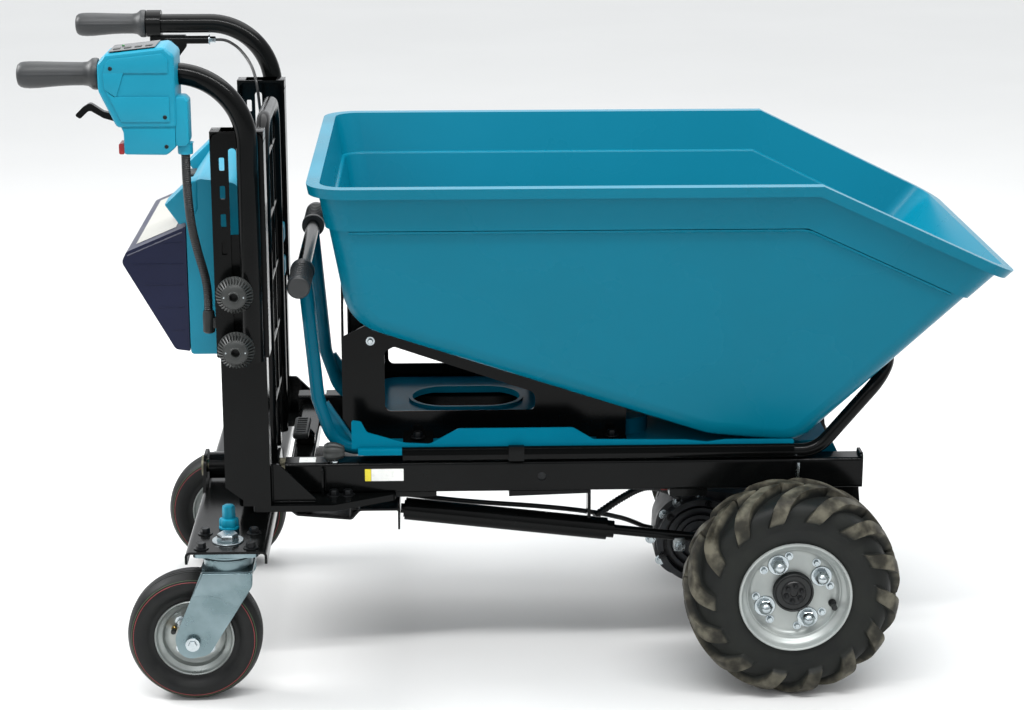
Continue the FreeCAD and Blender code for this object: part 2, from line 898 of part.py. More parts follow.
def bed_latch():
    """Foot latch that holds the bed down: a bracket on the rear tube, its pedal and a side knob."""
    bracket = new_body("latch_bracket")
    add_slab(bracket, "XZ", -66, -42, [
        (-338, 338),
        (-338, 350, 4),
        (-346, 358, 6),
        (-368, 358, 6),
        (-368, 338),
    ])
    add_slab(bracket, "XY", 358, 370, [
        (-372, -100, 12),
        (-346, -100, 12),
        (-346, -8, 12),
        (-372, -8, 12),
    ])
    knob = new_body("latch_knob")
    top = cell.rail_bottom + cell.rail_height
    add_slab(knob, "XZ", -216, -178, [
        (-326, top),
        (-326, top + 32, 9),
        (-301, top + 32, 9),
        (-301, top),
    ])
    keep_group([bracket, knob], "bed_latch")


def motor_cable():
    """Sheathed cable clipped under the right rail, from the tray to the motor."""
    route = (
        (-376, -110, 284), (-320, -112, 277), (-262, -115, 272.5), (-198, -118, 270), (-130, -121, 261),
        (-60, -122, 254), (10, -120, 248), (75, -114, 239), (130, -98, 225), (170, -73, 207),
        (194, -48, 189), (208, -31, 177), (222, -22, 171),
    )
    cable(route, 8, "motor_cable")


def cable(route, diameter, label):
    """A held cable: straight runs joined by arcs as large as its shorter runs allow."""
    spots = [point(*corner) for corner in route]
    edges = []
    radii = []
    last = spots[0]
    for before, spot, after in zip(spots, spots[1:], spots[2:]):
        turn = (spot - before).getAngle(after - spot)
        radius = 0.45 * min((spot - before).Length, (after - spot).Length) / math.tan(turn / 2)
        radii.append(round(radius))
        start, end, centre = rounding(before, spot, after, radius)
        middle = centre + (spot - centre).normalize() * radius
        edges.append(Part.LineSegment(last, start).toShape())
        edges.append(Part.Arc(start, middle, end).toShape())
        last = end
    edges.append(Part.LineSegment(last, spots[-1]).toShape())
    path = Part.Wire(edges)
    item = doc.addObject("Part::Feature", label)
    item.Shape = swept(path, diameter)
    expected = math.pi * diameter ** 2 / 4 * path.Length
    ratio = item.Shape.Volume / expected
    print(f"{label}: length {path.Length:.0f} mm, radii {radii}, volume ratio {ratio:.3f}")
    return keep(item, label)


# ---- Handles: they slide on the masts as one piece ----

def handle_sleeves():
    """Slotted channels over the masts, closed at the top by a folded plate."""
    rear = cell.mast_x - cell.sleeve_depth / 2
    front = cell.mast_x + cell.sleeve_depth / 2
    outer = cell.sleeve_outer_y
    sheet_wall = 3.5
    pair = []
    for side, name in ((RIGHT, "handle_sleeve_right"), (LEFT, "handle_sleeve_left")):
        body = new_body(name)
        low, high = span(side, outer - 40, outer)
        add_slab(body, "XZ", low, high, [
            (rear, cell.sleeve_bottom, 3),
            (rear, cell.sleeve_top, 14),
            (front, cell.sleeve_top, 14),
            (front, cell.sleeve_bottom, 3),
        ])
        hollow_low, hollow_high = span(side, outer - 41, outer - sheet_wall)
        cut_slab(body, "XZ", hollow_low, hollow_high, [
            (rear + sheet_wall, cell.sleeve_bottom - 1),
            (rear + sheet_wall, cell.sleeve_top - sheet_wall, 10.5),
            (front - sheet_wall, cell.sleeve_top - sheet_wall, 10.5),
            (front - sheet_wall, cell.sleeve_bottom - 1),
        ])
        slot = box(cell.slot_x - 6, cell.slot_x + 6, 552, 868, 5.9)
        windows = [box(-459, -451, low, low + 20, 2) for low in range(705, 850, 43)]
        cut_slab(body, "XZ", *span(side, outer - sheet_wall - 1, outer + 1), slot, *windows)
        pair.append(body)
    keep_group(pair, "handle_sleeves")


def handle_tubes():
    """Bent tubes on the sleeves' outer faces, up and over to the grips."""
    pair = []
    for side, name in ((RIGHT, "handle_tube_right"), (LEFT, "handle_tube_left")):
        y = float(cell.handle_y) * side
        high = float(cell.handle_height)
        tube = bent_tube(
            name,
            (
                (cell.handle_x, y, cell.sleeve_bottom),
                (cell.handle_x, y, high),
                (cell.grip_end_x + 4, y, high),
            ),
            cell.handle_bend, cell.handle_tube, 2,
        )
        pair.append(tube)
    keep_group(pair, "handle_tubes")


def handle_grips():
    """Rubber grips, each with a flange at its inner end and a rounded closed end."""
    grips = []
    for side, name in ((RIGHT, "grip_right"), (LEFT, "grip_left")):
        bore = cell.handle_tube / 2
        radius = cell.grip_diameter / 2
        length = cell.grip_length
        body = new_body(name)
        turn_round(body, "XY", "H_Axis", [
            (0, 0),
            (0, radius - 2, 6),
            (5, radius + 1.5, 6),
            (20, radius, 20),
            (length - 16, radius, 14),
            (length - 7, radius + 5, 3),
            (length, radius + 5, 2),
            (length, bore),
            (4, bore),
            (4, 0),
        ])
        place(body, cell.grip_end_x, cell.handle_y * side, cell.handle_height)
        grips.append(body)
    keep_group(grips, "handle_grips")


def control_box():
    """Moulded control housing round the right handle tube, stepped below, with a side socket."""
    y, z = -cell.handle_y, cell.handle_height
    body = new_body("control_box")
    add_slab(body, "XZ", -345, -258, [
        (-623, 966, 6),
        (-623, 1007, 10),
        (-611, 1021, 8),
        (-523, 1030.5, 10),
        (-511, 1018, 8),
        (-511, 900),
        (-515, 879),
        (-528, 870, 5),
        (-589, 870, 4),
        (-589, 904, 3),
        (-598, 908, 8),
    ])
    cut_slab(body, "YZ", -640, -500, disc(y, z, cell.handle_tube))
    cut_slab(body, "YZ", -521, -500, box(y - 18, y + 18, z - 20, z + 17))
    cut_slab(body, "XZ", -303, -289, box(-640, -592, 904, 928))
    add_slab(body, "XZ", -338, -296, box(-512, -493, 884, 956, 6))
    add_slab(body, "XY", 870, 886, disc(-502, -320, 22))
    panel = [(-596, 958, 3), (-584, 991, 3), (-520, 991, 3), (-520, 958, 3)]
    cut_slab(body, "XZ", -346, -343, panel)
    keep(body, "control_box")


def control_switch():
    """Rocker key on the box's lower rear corner."""
    body = plate("control_switch", "XZ", -334, -306, box(-597, -589, 872, 888, 2.5))
    keep(body, "control_switch")


def hand_levers():
    """Bent flat levers under the grips: drive on the right, brake on the left."""
    for side, name in ((RIGHT, "drive_lever"), (LEFT, "brake_lever")):
        low, high = span(side, 290, 302)
        body = plate(name, "XZ", low, high, [
            (-592, 911, 4),
            (-592, 922, 4),
            (-622, 930, 10),
            (-641, 943, 7),
            (-652, 936, 6),
            (-664, 924, 3),
            (-656, 919, 3),
            (-642, 932, 6),
            (-622, 920, 10),
        ])
        keep(body, name)


def brake_bracket():
    """Clamp on the left handle tube with the plate that carries the brake lever and cable stop."""
    y, z = cell.handle_y, cell.handle_height
    body = new_body("brake_bracket")
    add_slab(body, "YZ", -626, -602, disc(y, z, 46), disc(y, z, cell.handle_tube))
    add_slab(body, "XZ", y - 5, y + 5, [
        (-622, 936, 6),
        (-622, 964, 2),
        (-560, 964, 4),
        (-560, 944, 8),
        (-588, 908, 8),
        (-606, 910, 8),
    ])
    add_slab(body, "YZ", -596, -522, disc(y, 955, 14))
    add_slab(body, "YZ", -524, -516, disc(y, 955, 10))
    keep(body, "brake_bracket")


def brake_cable():
    """Sheathed cable from the brake lever, down through the open side of the left sleeve."""
    route = (
        (-516, 285, 955), (-494, 285, 955), (-473, 276, 944), (-456, 257, 928), (-444, 236, 911),
        (-437, 221, 886), (-434, 218, 854), (-432, 228, 820), (-431, 240, 780), (-431, 246, 732),
        (-431, 246.5, 680),
    )
    cable(route, 5, "brake_cable")


def control_conduit():
    """Corrugated conduit from the control box down to a gland on the back of the right sleeve."""
    rear = cell.mast_x - cell.sleeve_depth / 2
    gland = new_body("conduit_gland")
    add_slab(gland, "XY", 588, 616, box(rear - 24, rear, -264, -240, 5), disc(rear - 12, -252, 14))
    add_slab(gland, "XY", 580, 589, box(rear - 24, rear, -264, -240, 5))
    keep(gland, "conduit_gland")
    cable((
        (-502, -320, 869.9), (-502, -320, 820), (-499, -314, 764), (-492, -294, 714),
        (-486, -269, 676), (-484, -252, 646), (-484, -252, 589),
    ), 13, "control_conduit")


# ---- Tipping bed: pan, hoop, bracket, bucket and dump handle ----

def bed_pan():
    """Pressed pan draped over the hoop, with a raised plateau, an oval opening and hinge ears."""
    half = cell.pan_half_width
    level = 371
    over_hoop = cell.rail_bottom + cell.rail_height + 0.5 + cell.hoop_tube
    sheet_wall = 3
    body = new_body("bed_pan")
    right = [
        (-half - 6, level - 4),
        (-half - 6, over_hoop + sheet_wall, 5),
        (-half + 14, over_hoop + sheet_wall, 5),
        (-half + 23, level, 5),
    ]
    under_right = [
        (-half + 22, level - sheet_wall, 5),
        (-half + 13, over_hoop, 1),
        (-half - 3, over_hoop),
        (-half - 3, level - 4),
    ]
    left = [(-corner[0], *corner[1:]) for corner in reversed(right)]
    under_left = [(-corner[0], *corner[1:]) for corner in reversed(under_right)]
    add_slab(body, "YZ", cell.pan_rear, 492, [*right, *left, *under_left, *under_right])
    plateau = (-238, 205, -128, 128)
    inset = sheet_wall
    add_slab(body, "XY", level - sheet_wall, 396, box(*plateau, 38))
    rear, front, near, far = plateau
    hollow = box(rear + inset, front - inset, near + inset, far - inset, 35)
    cut_slab(body, "XY", level - sheet_wall - 1, 396 - sheet_wall, hollow)
    opening = box(-178, 0, -56, 56, 55)
    add_slab(body, "XY", 390, 400, box(-184, 6, -62, 62, 61))
    cut_slab(body, "XY", 380, 401, opening)
    corners = [box(428, 493, *span(side, 172, 216)) for side in (RIGHT, LEFT)]
    cut_slab(body, "XY", level - 10, 380, *corners)
    feet = [disc(x, y, 9) for x in (-168, 142) for y in (-158, 158)]
    cut_slab(body, "XY", level - sheet_wall - 1, level + 1, *feet)
    for side in (RIGHT, LEFT):
        low, high = span(side, 146, 152)
        add_slab(body, "XZ", low, high, [
            (420, level - 1),
            (496, level - 1, 6),
            (cell.tip_axis_x + 20, cell.tip_axis_z + 6, 14),
            (cell.tip_axis_x + 14, cell.tip_axis_z - 20, 14),
            (cell.tip_axis_x - 18, cell.tip_axis_z - 18, 14),
            (cell.tip_axis_x - 36, cell.tip_axis_z + 62, 30),
        ], disc(cell.tip_axis_x, cell.tip_axis_z, 16.8))
    foot = over_hoop + 1
    for side in (RIGHT, LEFT):
        low, high = span(side, 203, 206)
        add_slab(body, "XZ", low, high, [
            (-272, foot),
            (-272, 422, 3),
            (-257, 420, 5),
            (-248, 402, 10),
            (-188, 384, 20),
            (-149, 382, 12),
            (-104, 407, 12),
            (77, 407, 12),
            (110, 387, 12),
            (257, 385, 10),
            (290, 381, 10),
            (319, 385, 8),
            (428, 385, 4),
            (428, foot),
        ])
    keep(body, "bed_pan")


def bed_hoop():
    """Tube under the pan's edges that turns up in front to carry the bucket's nose."""
    y = float(cell.hoop_y)
    level = float(cell.rail_bottom + cell.rail_height + 0.5 + cell.hoop_tube / 2)
    hoop = bent_tube(
        "bed_hoop",
        (
            (-192, -y, level), (465, -y, level), (582, -y, 505),
            (582, y, 505), (465, y, level), (-192, y, level),
        ),
        55, cell.hoop_tube, 2,
    )
    keep(hoop, "bed_hoop")


def bucket_underside(x):
    """Height of the bucket's sloping floor, outside, at x."""
    return 590 - 0.3559 * (x + 272)


def bucket_bracket():
    """Folded sheet cradle under the bucket: windowed cheeks with bolted feet, and a rear plate."""
    y = cell.bracket_y
    sheet_wall = 3
    body = new_body("bucket_bracket")
    for side in (RIGHT, LEFT):
        low, high = span(side, y - sheet_wall, y)
        add_slab(body, "XZ", low, high, [
            (-288, 371, 10),
            (-288, 540, 8),
            (-225, bucket_underside(-225) - 1.5, 4),
            (166, bucket_underside(166) - 1.5, 6),
            (166, 371),
        ], [
            (-220, 417, 10),
            (-220, 516, 10),
            (-205, 524, 8),
            (20, 446, 14),
            (20, 417, 10),
        ])
        near, far = span(side, y - 1, y + 32)
        for middle in (-168, 142):
            foot = box(middle - 24, middle + 24, near, far, 0)
            add_slab(body, "XY", 371, 374, foot, disc(middle, 158 * side, 9))
    add_slab(body, "YZ", -288, -285, [
        (-y, 380),
        (-y, 540),
        (-y + 24, 632, 14),
        (y - 24, 632, 14),
        (y, 540),
        (y, 380),
    ], box(-y + 34, y - 34, 420, 590, 16))
    keep(body, "bucket_bracket")


# Side outline of the bucket: rear wall, sloping floor, flat floor, front wall and the rim line.
RIM_SLOPE = 0.477
SIDE_DRAFT = 0.277
FRONT_DRAFT = 0.947
BUCKET_NOSE = 729.6


def rim_line(x):
    """Height of the sloping part of the rim at x."""
    return cell.rim_z - RIM_SLOPE * (x - cell.bucket_knee)


def bucket_block(name, outset, depth=None, drop=0):
    """Solid within the bucket's walls, moved out by an outset, down to a depth under the rim."""
    top = cell.rim_z
    rear = cell.bucket_rear - outset
    nose = BUCKET_NOSE + 0.87 * as_size(outset)
    if depth is None:
        underside = [
            (rear + 37, 590, 80),
            (290, 390, 90),
            (437, 371, 70),
        ]
    else:
        knee = cell.bucket_knee - 0.23 * as_size(depth)
        shift = (1 + 0.23 * RIM_SLOPE) / (1 / FRONT_DRAFT + RIM_SLOPE) * as_size(depth)
        underside = [
            (rear + 0.16 * as_size(depth), top - depth),
            (knee, top - depth),
            (nose - shift, rim_line(nose) - shift / FRONT_DRAFT),
        ]
    side = [(rear, top), *underside, (nose, rim_line(nose)), (cell.bucket_knee, top)]
    length = plate(f"{name}_length", "XZ", -400, 400, side)
    upper = cell.bucket_half_width + outset
    lower = upper - SIDE_DRAFT * 480
    width = plate(
        f"{name}_width", "YZ", -400, 800,
        [(-upper, top), (-lower, top - 480), (lower, top - 480), (upper, top)],
    )
    for body in (length, width):
        place(body, 0, 0, -as_size(drop))
    block = combine("Part::MultiCommon", name, [length, width])
    radius = 40 + float(outset)
    doc.recompute()
    corners = [
        (index, radius, radius)
        for index, edge in enumerate(block.Shape.Edges, start=1)
        if side_edge(edge, depth is not None)
    ]
    rounded = doc.addObject("Part::Fillet", f"{name}_rounded")
    rounded.Base = block
    rounded.Edges = corners
    return rounded


def side_edge(edge, uprights_only):
    """True for an edge along a side wall that gets the bucket's corner radius."""
    first, last = edge.Vertexes[0].Point, edge.Vertexes[-1].Point
    if first.y * last.y <= 0:
        return False
    if uprights_only:
        return abs(first.z - last.z) > 0.8 * abs(first.x - last.x) and first.z != last.z
    return not all(near_rim(spot) for spot in (first, last))


def near_rim(spot, reach=3):
    """True for a point on the rim's flat or sloping plane."""
    if spot.x <= float(cell.bucket_knee):
        return abs(spot.z - float(cell.rim_z)) < reach
    return abs(spot.z - float(rim_line(spot.x))) < reach


def bucket():
    """One-piece moulded bucket: even walls, a wider band below the rim and a turned-down flange."""
    lower = bucket_block("bucket_lower", 0)
    band = bucket_block("bucket_band", cell.bucket_wall, 70)
    outer = combine("Part::MultiFuse", "bucket_outer", [lower, band])
    doc.recompute()
    tops = [
        f"Face{index}"
        for index, face in enumerate(outer.Shape.Faces, start=1)
        if near_rim(face.CenterOfMass)
    ]
    shell = doc.addObject("Part::Thickness", "bucket_shell")
    shell.Faces = (outer, tops)
    bind(shell, "Value", -cell.bucket_wall)
    shell.Join = 0
    width = cell.rim_width
    flange = bucket_block("flange_outer", width, 16)
    under = bucket_block("flange_inner", width - 4, 60, 4)
    mouth = bucket_block("flange_mouth", 1, 60)
    folded = difference("flange_folded", flange, under)
    rim = difference("flange", folded, mouth)
    keep(combine("Part::MultiFuse", "bucket", [shell, rim]), "bucket")


def dump_legs():
    """Legs that rise behind the bucket from under the pan, each with a strap across its lower bend."""
    legs = []
    for side, name in ((RIGHT, "dump_leg_right"), (LEFT, "dump_leg_left")):
        y = 140 * side
        leg = bent_tube(
            name,
            ((-345, y, 655), (-327, y, 440), (-299, y, 356.5), (-190, y, 356.5)),
            50, cell.dump_tube, 2,
        )
        bar = Part.makeCylinder(float(cell.dump_tube) / 2, 60, point(-345, y - 30, 655), Y_AXIS)
        strap = Part.Face(Part.makePolygon([
            point(x, 141.5 * side, z)
            for x, z in ((-315, 434), (-310, 436), (-266, 369), (-271, 366), (-315, 434))
        ])).extrude(Y_AXIS * 7 * side)
        leg.Shape = leg.Shape.cut(bar).fuse(strap)
        legs.append(leg)
    keep_group(legs, "dump_legs")


def dump_bar():
    """Cross bar of the dump handle, between and beyond its legs."""
    body = new_body("dump_bar")
    add_slab(body, "XZ", -272, 272, disc(-345, 655, cell.dump_tube), disc(-345, 655, cell.dump_tube - 4))
    keep(body, "dump_bar")


def dump_grips():
    """Rubber grips on the ends of the cross bar, with a collar next to each leg."""
    grips = []
    for side, name in ((RIGHT, "dump_grip_right"), (LEFT, "dump_grip_left")):
        body = new_body(name)
        bore = cell.dump_tube / 2
        turn_round(body, "XZ", "V_Axis", [
            (bore, 160),
            (19, 160, 2),
            (19, 172, 2),
            (16.5, 178, 8),
            (17, 268, 30),
            (19, 278, 5),
            (0, 278),
            (0, 272),
            (bore, 272),
        ])
        turn = FreeCAD.Rotation(X_AXIS, 90 if side == RIGHT else -90)
        body.Placement = FreeCAD.Placement(point(-345, 0, 655), turn)
        grips.append(body)
    keep_group(grips, "dump_grips")


# ---- Castors ----

def castors():
    """Swivelling forks with pressed legs, an axle bolt through each, and their wheels."""
    trail = cell.castor_trail
    axle_z = cell.castor_tyre_radius
    leg_inner = cell.castor_tyre_width / 2 + 6
    for side, word in ((RIGHT, "right"), (LEFT, "left")):
        fork = new_body(f"castor_fork_{word}")
        crown = box(-39, 40, -leg_inner - 5, leg_inner + 5, 8)
        add_slab(fork, "XY", 215, 221, crown)
        add_slab(fork, "XY", 220, 236, disc(0, 0, 76))
        cut_slab(fork, "XY", 214, 237, disc(0, 0, 21))
        for way in (RIGHT, LEFT):
            low, high = span(way, leg_inner, leg_inner + 5)
            add_slab(fork, "XZ", low, high, [
                (-39, 220, 4),
                (40, 220, 4),
                (39, 197, 14),
                (-31, 84, 20),
                (-trail - 20, 75, 22),
                (-trail - 28, 112, 24),
                (-trail, 180, 40),
            ])
            low, high = span(way, leg_inner + 4, leg_inner + 6.5)
            add_slab(fork, "XZ", low, high, [
                (-39, 220, 4),
                (40, 220, 4),
                (38, 197, 12),
                (22, 171, 3),
                (3, 173, 8),
                (-49, 186, 4),
            ])
            low, high = span(way, leg_inner + 4, leg_inner + 13)
            add_slab(fork, "XZ", low, high, disc(-trail, axle_z, 21))
        add_slab(fork, "XZ", -leg_inner - 1, leg_inner + 1, disc(-trail, axle_z, 12))
        place(fork, cell.castor_x, cell.castor_y * side)
        keep(fork, f"castor_fork_{word}")
        castor_wheel(side, word)


def castor_wheel(side, word):
    """Pneumatic tyre on a two-part pressed rim with a long hub."""
    radius = cell.castor_tyre_radius
    half = cell.castor_tyre_width / 2
    bead = cell.castor_rim_bead
    spot = (cell.castor_x - cell.castor_trail, cell.castor_y * side, radius)
    tyre = new_body(f"castor_tyre_{word}")
    turn_round(tyre, "YZ", "H_Axis", [
        (-21, bead),
        (-21, bead + 13, 3),
        (-half, bead + 26, 16),
        (-half + 2, radius - 12, 14),
        (-12, radius, 24),
        (12, radius, 24),
        (half - 2, radius - 12, 14),
        (half, bead + 26, 16),
        (21, bead + 13, 3),
        (21, bead),
    ])
    place(tyre, *spot)
    keep(tyre, f"castor_tyre_{word}")
    rim = new_body(f"castor_rim_{word}")
    flange = cell.castor_rim_radius
    turn_round(rim, "YZ", "H_Axis", [
        (-22, bead - 2.5, 2),
        (-24, flange - 6, 2),
        (-24, flange, 1),
        (-21, flange, 1),
        (-21, bead),
        (21, bead),
        (21, flange, 1),
        (24, flange, 1),
        (24, flange - 6, 2),
        (22, bead - 2.5, 2),
        (14, bead - 3, 3),
        (7, 38, 5),
        (7, 20),
        (36, 18, 2),
        (36, 6.6),
        (-36, 6.6),
        (-36, 18, 2),
        (-7, 20),
        (-7, 38, 5),
        (-14, bead - 3, 3),
    ])
    place(rim, *spot)
    keep(rim, f"castor_rim_{word}")


# ---- Drive wheels ----

def drive_wheels():
    """Wide farm-type tyres on pressed rims that are bolted to flanged hubs."""
    radius = cell.drive_tyre_radius
    half = cell.drive_tyre_width / 2
    bead = cell.drive_rim_bead
    flange = cell.drive_rim_radius
    for side, word in ((RIGHT, "right"), (LEFT, "left")):
        turn = FreeCAD.Rotation(Z_AXIS, 180 if side == RIGHT else 0)
        spot = (cell.drive_axle_x, cell.drive_wheel_y * side, radius)
        tyre = new_body(f"drive_tyre_{word}")
        turn_round(tyre, "YZ", "H_Axis", [
            (-50, bead),
            (-50, bead + 14, 4),
            (-half, bead + 40, 26),
            (-half, radius - 16, 12),
            (-half + 22, radius, 30),
            (half - 22, radius, 30),
            (half, radius - 16, 12),
            (half, bead + 40, 26),
            (50, bead + 14, 4),
            (50, bead),
        ])
        rim = new_body(f"drive_rim_{word}")
        turn_round(rim, "YZ", "H_Axis", [
            (-51, bead - 4, 3),
            (-54, flange - 8, 3),
            (-54, flange, 1.5),
            (-50, flange, 1.5),
            (-50, bead),
            (50, bead),
            (50, flange, 1.5),
            (54, flange, 1.5),
            (54, flange - 8, 3),
            (51, bead - 4, 3),
            (30, bead - 4, 4),
            (24, 62, 4),
            (24, 15.5),
            (19, 15.5),
            (19, 60, 5),
            (14, bead - 6, 4),
            (-40, bead - 6, 6),
        ])
        holes = cut_slab(rim, "XZ", 18, 25, disc(24.2, 43.7, 12))
        repeat_round(rim, holes, "N_Axis", 4)
        hub = new_body(f"drive_hub_{word}")
        turn_round(hub, "YZ", "H_Axis", [
            (-56, 12.6),
            (-56, 30, 3),
            (8, 30, 4),
            (10, 60, 2),
            (18.9, 60, 1),
            (18.9, 15.4),
            (24.2, 15.4),
            (24.2, 32),
            (33, 29, 4),
            (34, 0),
            (20, 0),
            (20, 12.6),
        ])
        for body, label in ((tyre, "tyre"), (rim, "rim"), (hub, "hub")):
            body.Placement = FreeCAD.Placement(point(0, 0), turn)
            place(body, *spot)
            keep(body, f"drive_{label}_{word}")


def build():
    rails()
    cross_members()
    masts()
    mast_feet()
    mast_tie()
    castor_beam()
    beam_pivot()
    castor_plates()
    lock_knobs()
    battery_housing()
    battery_packs()
    battery_lid()
    guard()
    axle_housing()
    axle_brackets()
    gear_case()
    drive_motor()
    stay()
    under_tray()
    hinge_brackets()
    hinge_pin()
    clamp_knobs()
    bed_latch()
    motor_cable()
    handle_sleeves()
    handle_tubes()
    handle_grips()
    control_box()
    control_switch()
    hand_levers()
    brake_bracket()
    brake_cable()
    control_conduit()
    bed_pan()
    bed_hoop()
    bucket_bracket()
    bucket()
    dump_legs()
    dump_bar()
    dump_grips()
    castors()
    drive_wheels()


def check():
    """Stops on a failed object, a bad shape or a cut that removed nothing."""
    for item in doc.Objects:
        if "Invalid" in item.State or "Error" in item.State:
            raise RuntimeError(f"{item.Label} failed: {item.State}")
        if item.TypeId in ("PartDesign::Pocket", "PartDesign::Groove"):
            if item.Shape.Volume > item.BaseFeature.Shape.Volume - 1:
                raise RuntimeError(f"{item.Label} removed nothing")
    for item in subparts:
        if item.Shape.isNull() or not item.Shape.isValid():
            raise RuntimeError(f"{item.Label} has a bad shape")
        if not item.Shape.Solids:
            raise RuntimeError(f"{item.Label} has no solid")


def write():
    """One STEP file for each sub-part."""
    os.makedirs("parts", exist_ok=True)
    for item in subparts:
        item.Shape.exportStep(f"parts/{item.Label}.step")
    print(f"{len(subparts)} sub-parts written")


build()
doc.recompute()
check()
write()
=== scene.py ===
import math

import bmesh
import bpy
from mathutils import Matrix, Vector


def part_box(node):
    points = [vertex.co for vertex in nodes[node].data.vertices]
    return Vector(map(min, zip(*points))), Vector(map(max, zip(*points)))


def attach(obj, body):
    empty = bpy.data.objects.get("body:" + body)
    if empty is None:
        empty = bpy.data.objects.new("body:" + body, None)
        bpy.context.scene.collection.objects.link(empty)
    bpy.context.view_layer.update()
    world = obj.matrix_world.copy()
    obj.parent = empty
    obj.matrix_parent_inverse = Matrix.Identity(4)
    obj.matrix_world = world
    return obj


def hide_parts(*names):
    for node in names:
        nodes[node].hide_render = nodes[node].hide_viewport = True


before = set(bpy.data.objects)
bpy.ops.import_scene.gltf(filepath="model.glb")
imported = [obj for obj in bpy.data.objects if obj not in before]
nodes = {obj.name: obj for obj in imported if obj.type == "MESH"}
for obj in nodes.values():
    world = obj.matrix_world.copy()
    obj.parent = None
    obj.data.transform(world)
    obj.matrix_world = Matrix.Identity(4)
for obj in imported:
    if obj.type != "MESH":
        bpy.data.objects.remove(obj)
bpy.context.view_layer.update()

# The sign of y and the word for each side of the machine.
SIDES = ((-1, "right"), (1, "left"))

# ---- Camera ----
# A long lens stands three and a half metres out on the right side and looks down a little,
# so the far handle, mast and castor show above and behind the near ones.

camera_data = bpy.data.cameras.new("camera")
camera_data.lens = 79.8
camera_data.sensor_width = 36
camera = bpy.data.objects.new("camera", camera_data)
camera.location = (-0.1337, -3.6191, 1.4836)
camera.rotation_euler = (math.radians(74.35), 0, math.radians(-1.92))
bpy.context.collection.objects.link(camera)
bpy.context.scene.camera = camera
bpy.context.scene.view_settings.view_transform = "Standard"

# ---- Studio ----
# A matt pale floor runs out past the view under four soft boxes, one of them long and narrow to
# draw bright lines along edges. The room is bright above and behind, which glances off top
# faces, and dim towards the front, so that dark paint stays dark.


def linear(hex_colour):
    """An sRGB hex colour as the linear red, green, blue and alpha that shaders take."""
    parts = [int(hex_colour[place:place + 2], 16) / 255 for place in (1, 3, 5)]
    return (*[p / 12.92 if p <= 0.04045 else ((p + 0.055) / 1.055) ** 2.4 for p in parts], 1.0)


def add(material, kind, inputs=None, **settings):
    """Adds a node to a material, with its settings and a value or a link for each input."""
    tree = material.node_tree
    made = tree.nodes.new(f"ShaderNode{kind}")
    for name, value in settings.items():
        setattr(made, name, value)
    for name, value in (inputs or {}).items():
        if isinstance(value, bpy.types.NodeSocket):
            tree.links.new(value, made.inputs[name])
        else:
            made.inputs[name].default_value = value
    return made


def finish(name, tones, patch, gloss, grain, depth, metallic=0.0, ior=1.5):
    """A material with two tones in soft patches, an uneven gloss and a fine raised grain.

    patch and grain are sizes in metres, depth is the grain's height, and gloss the lowest
    and highest roughness. What is the same all over is set on the shader itself.
    """
    material = bpy.data.materials.new(name)
    material.use_nodes = True
    shader = material.node_tree.nodes["Principled BSDF"]
    shader.inputs["Metallic"].default_value = metallic
    shader.inputs["IOR"].default_value = ior
    where = add(material, "TexCoord").outputs["Object"]
    patches = add(material, "TexNoise", {"Vector": where, "Scale": 1 / patch, "Detail": 6.0})
    mix = add(material, "ValToRGB", {"Fac": patches.outputs["Fac"]}, name="tones")
    mix.color_ramp.elements[0].position = 0.35
    mix.color_ramp.elements[0].color = linear(tones[0])
    mix.color_ramp.elements[1].position = 0.68
    mix.color_ramp.elements[1].color = linear(tones[1])
    sheen = add(material, "MapRange", {
        "Value": patches.outputs["Fac"],
        "From Min": 0.3,
        "From Max": 0.7,
        "To Min": gloss[0],
        "To Max": gloss[1],
    })
    grains = add(material, "TexNoise", {"Vector": where, "Scale": 1 / grain, "Detail": 3.0})
    bump = add(material, "Bump", {
        "Height": grains.outputs["Fac"],
        "Strength": 0.6,
        "Distance": depth,
    })
    links = material.node_tree.links
    links.new(mix.outputs["Color"], shader.inputs["Base Color"])
    links.new(sheen.outputs["Result"], shader.inputs["Roughness"])
    links.new(bump.outputs["Normal"], shader.inputs["Normal"])
    return material


def block(low, high, rounding=0.0, corners=2):
    """A mesh in the making: a block between two corners, with rounded edges."""
    made = bmesh.new()
    bmesh.ops.create_cube(made, size=1)
    size = [b - a for a, b in zip(low, high)]
    middle = [(a + b) / 2 for a, b in zip(low, high)]
    bmesh.ops.scale(made, vec=size, verts=made.verts)
    bmesh.ops.translate(made, vec=middle, verts=made.verts)
    if rounding:
        bmesh.ops.bevel(
            made, geom=made.edges[:], offset=rounding, segments=corners, affect="EDGES", profile=0.6
        )
    return made


def piece(name, made, material, body=None, sharp=35):
    """Turns a mesh in the making into an object with its material, riding on a body."""
    mesh = bpy.data.meshes.new(name)
    bmesh.ops.recalc_face_normals(made, faces=made.faces)
    made.to_mesh(mesh)
    made.free()
    mesh.materials.append(material)
    mesh.shade_smooth()
    mesh.set_sharp_from_angle(angle=math.radians(sharp))
    thing = bpy.data.objects.new(name, mesh)
    bpy.context.collection.objects.link(thing)
    if body:
        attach(thing, body)
    return thing


matt_paint = finish(
    "matt_floor_paint", ("#DADAD9", "#DDDDDC"), 0.9, (0.6, 0.7), 0.01, 0.0002, ior=1.2
)
floor = piece("studio_floor", block((-60, -60, -0.02), (60, 60, 0), 0.004), matt_paint)

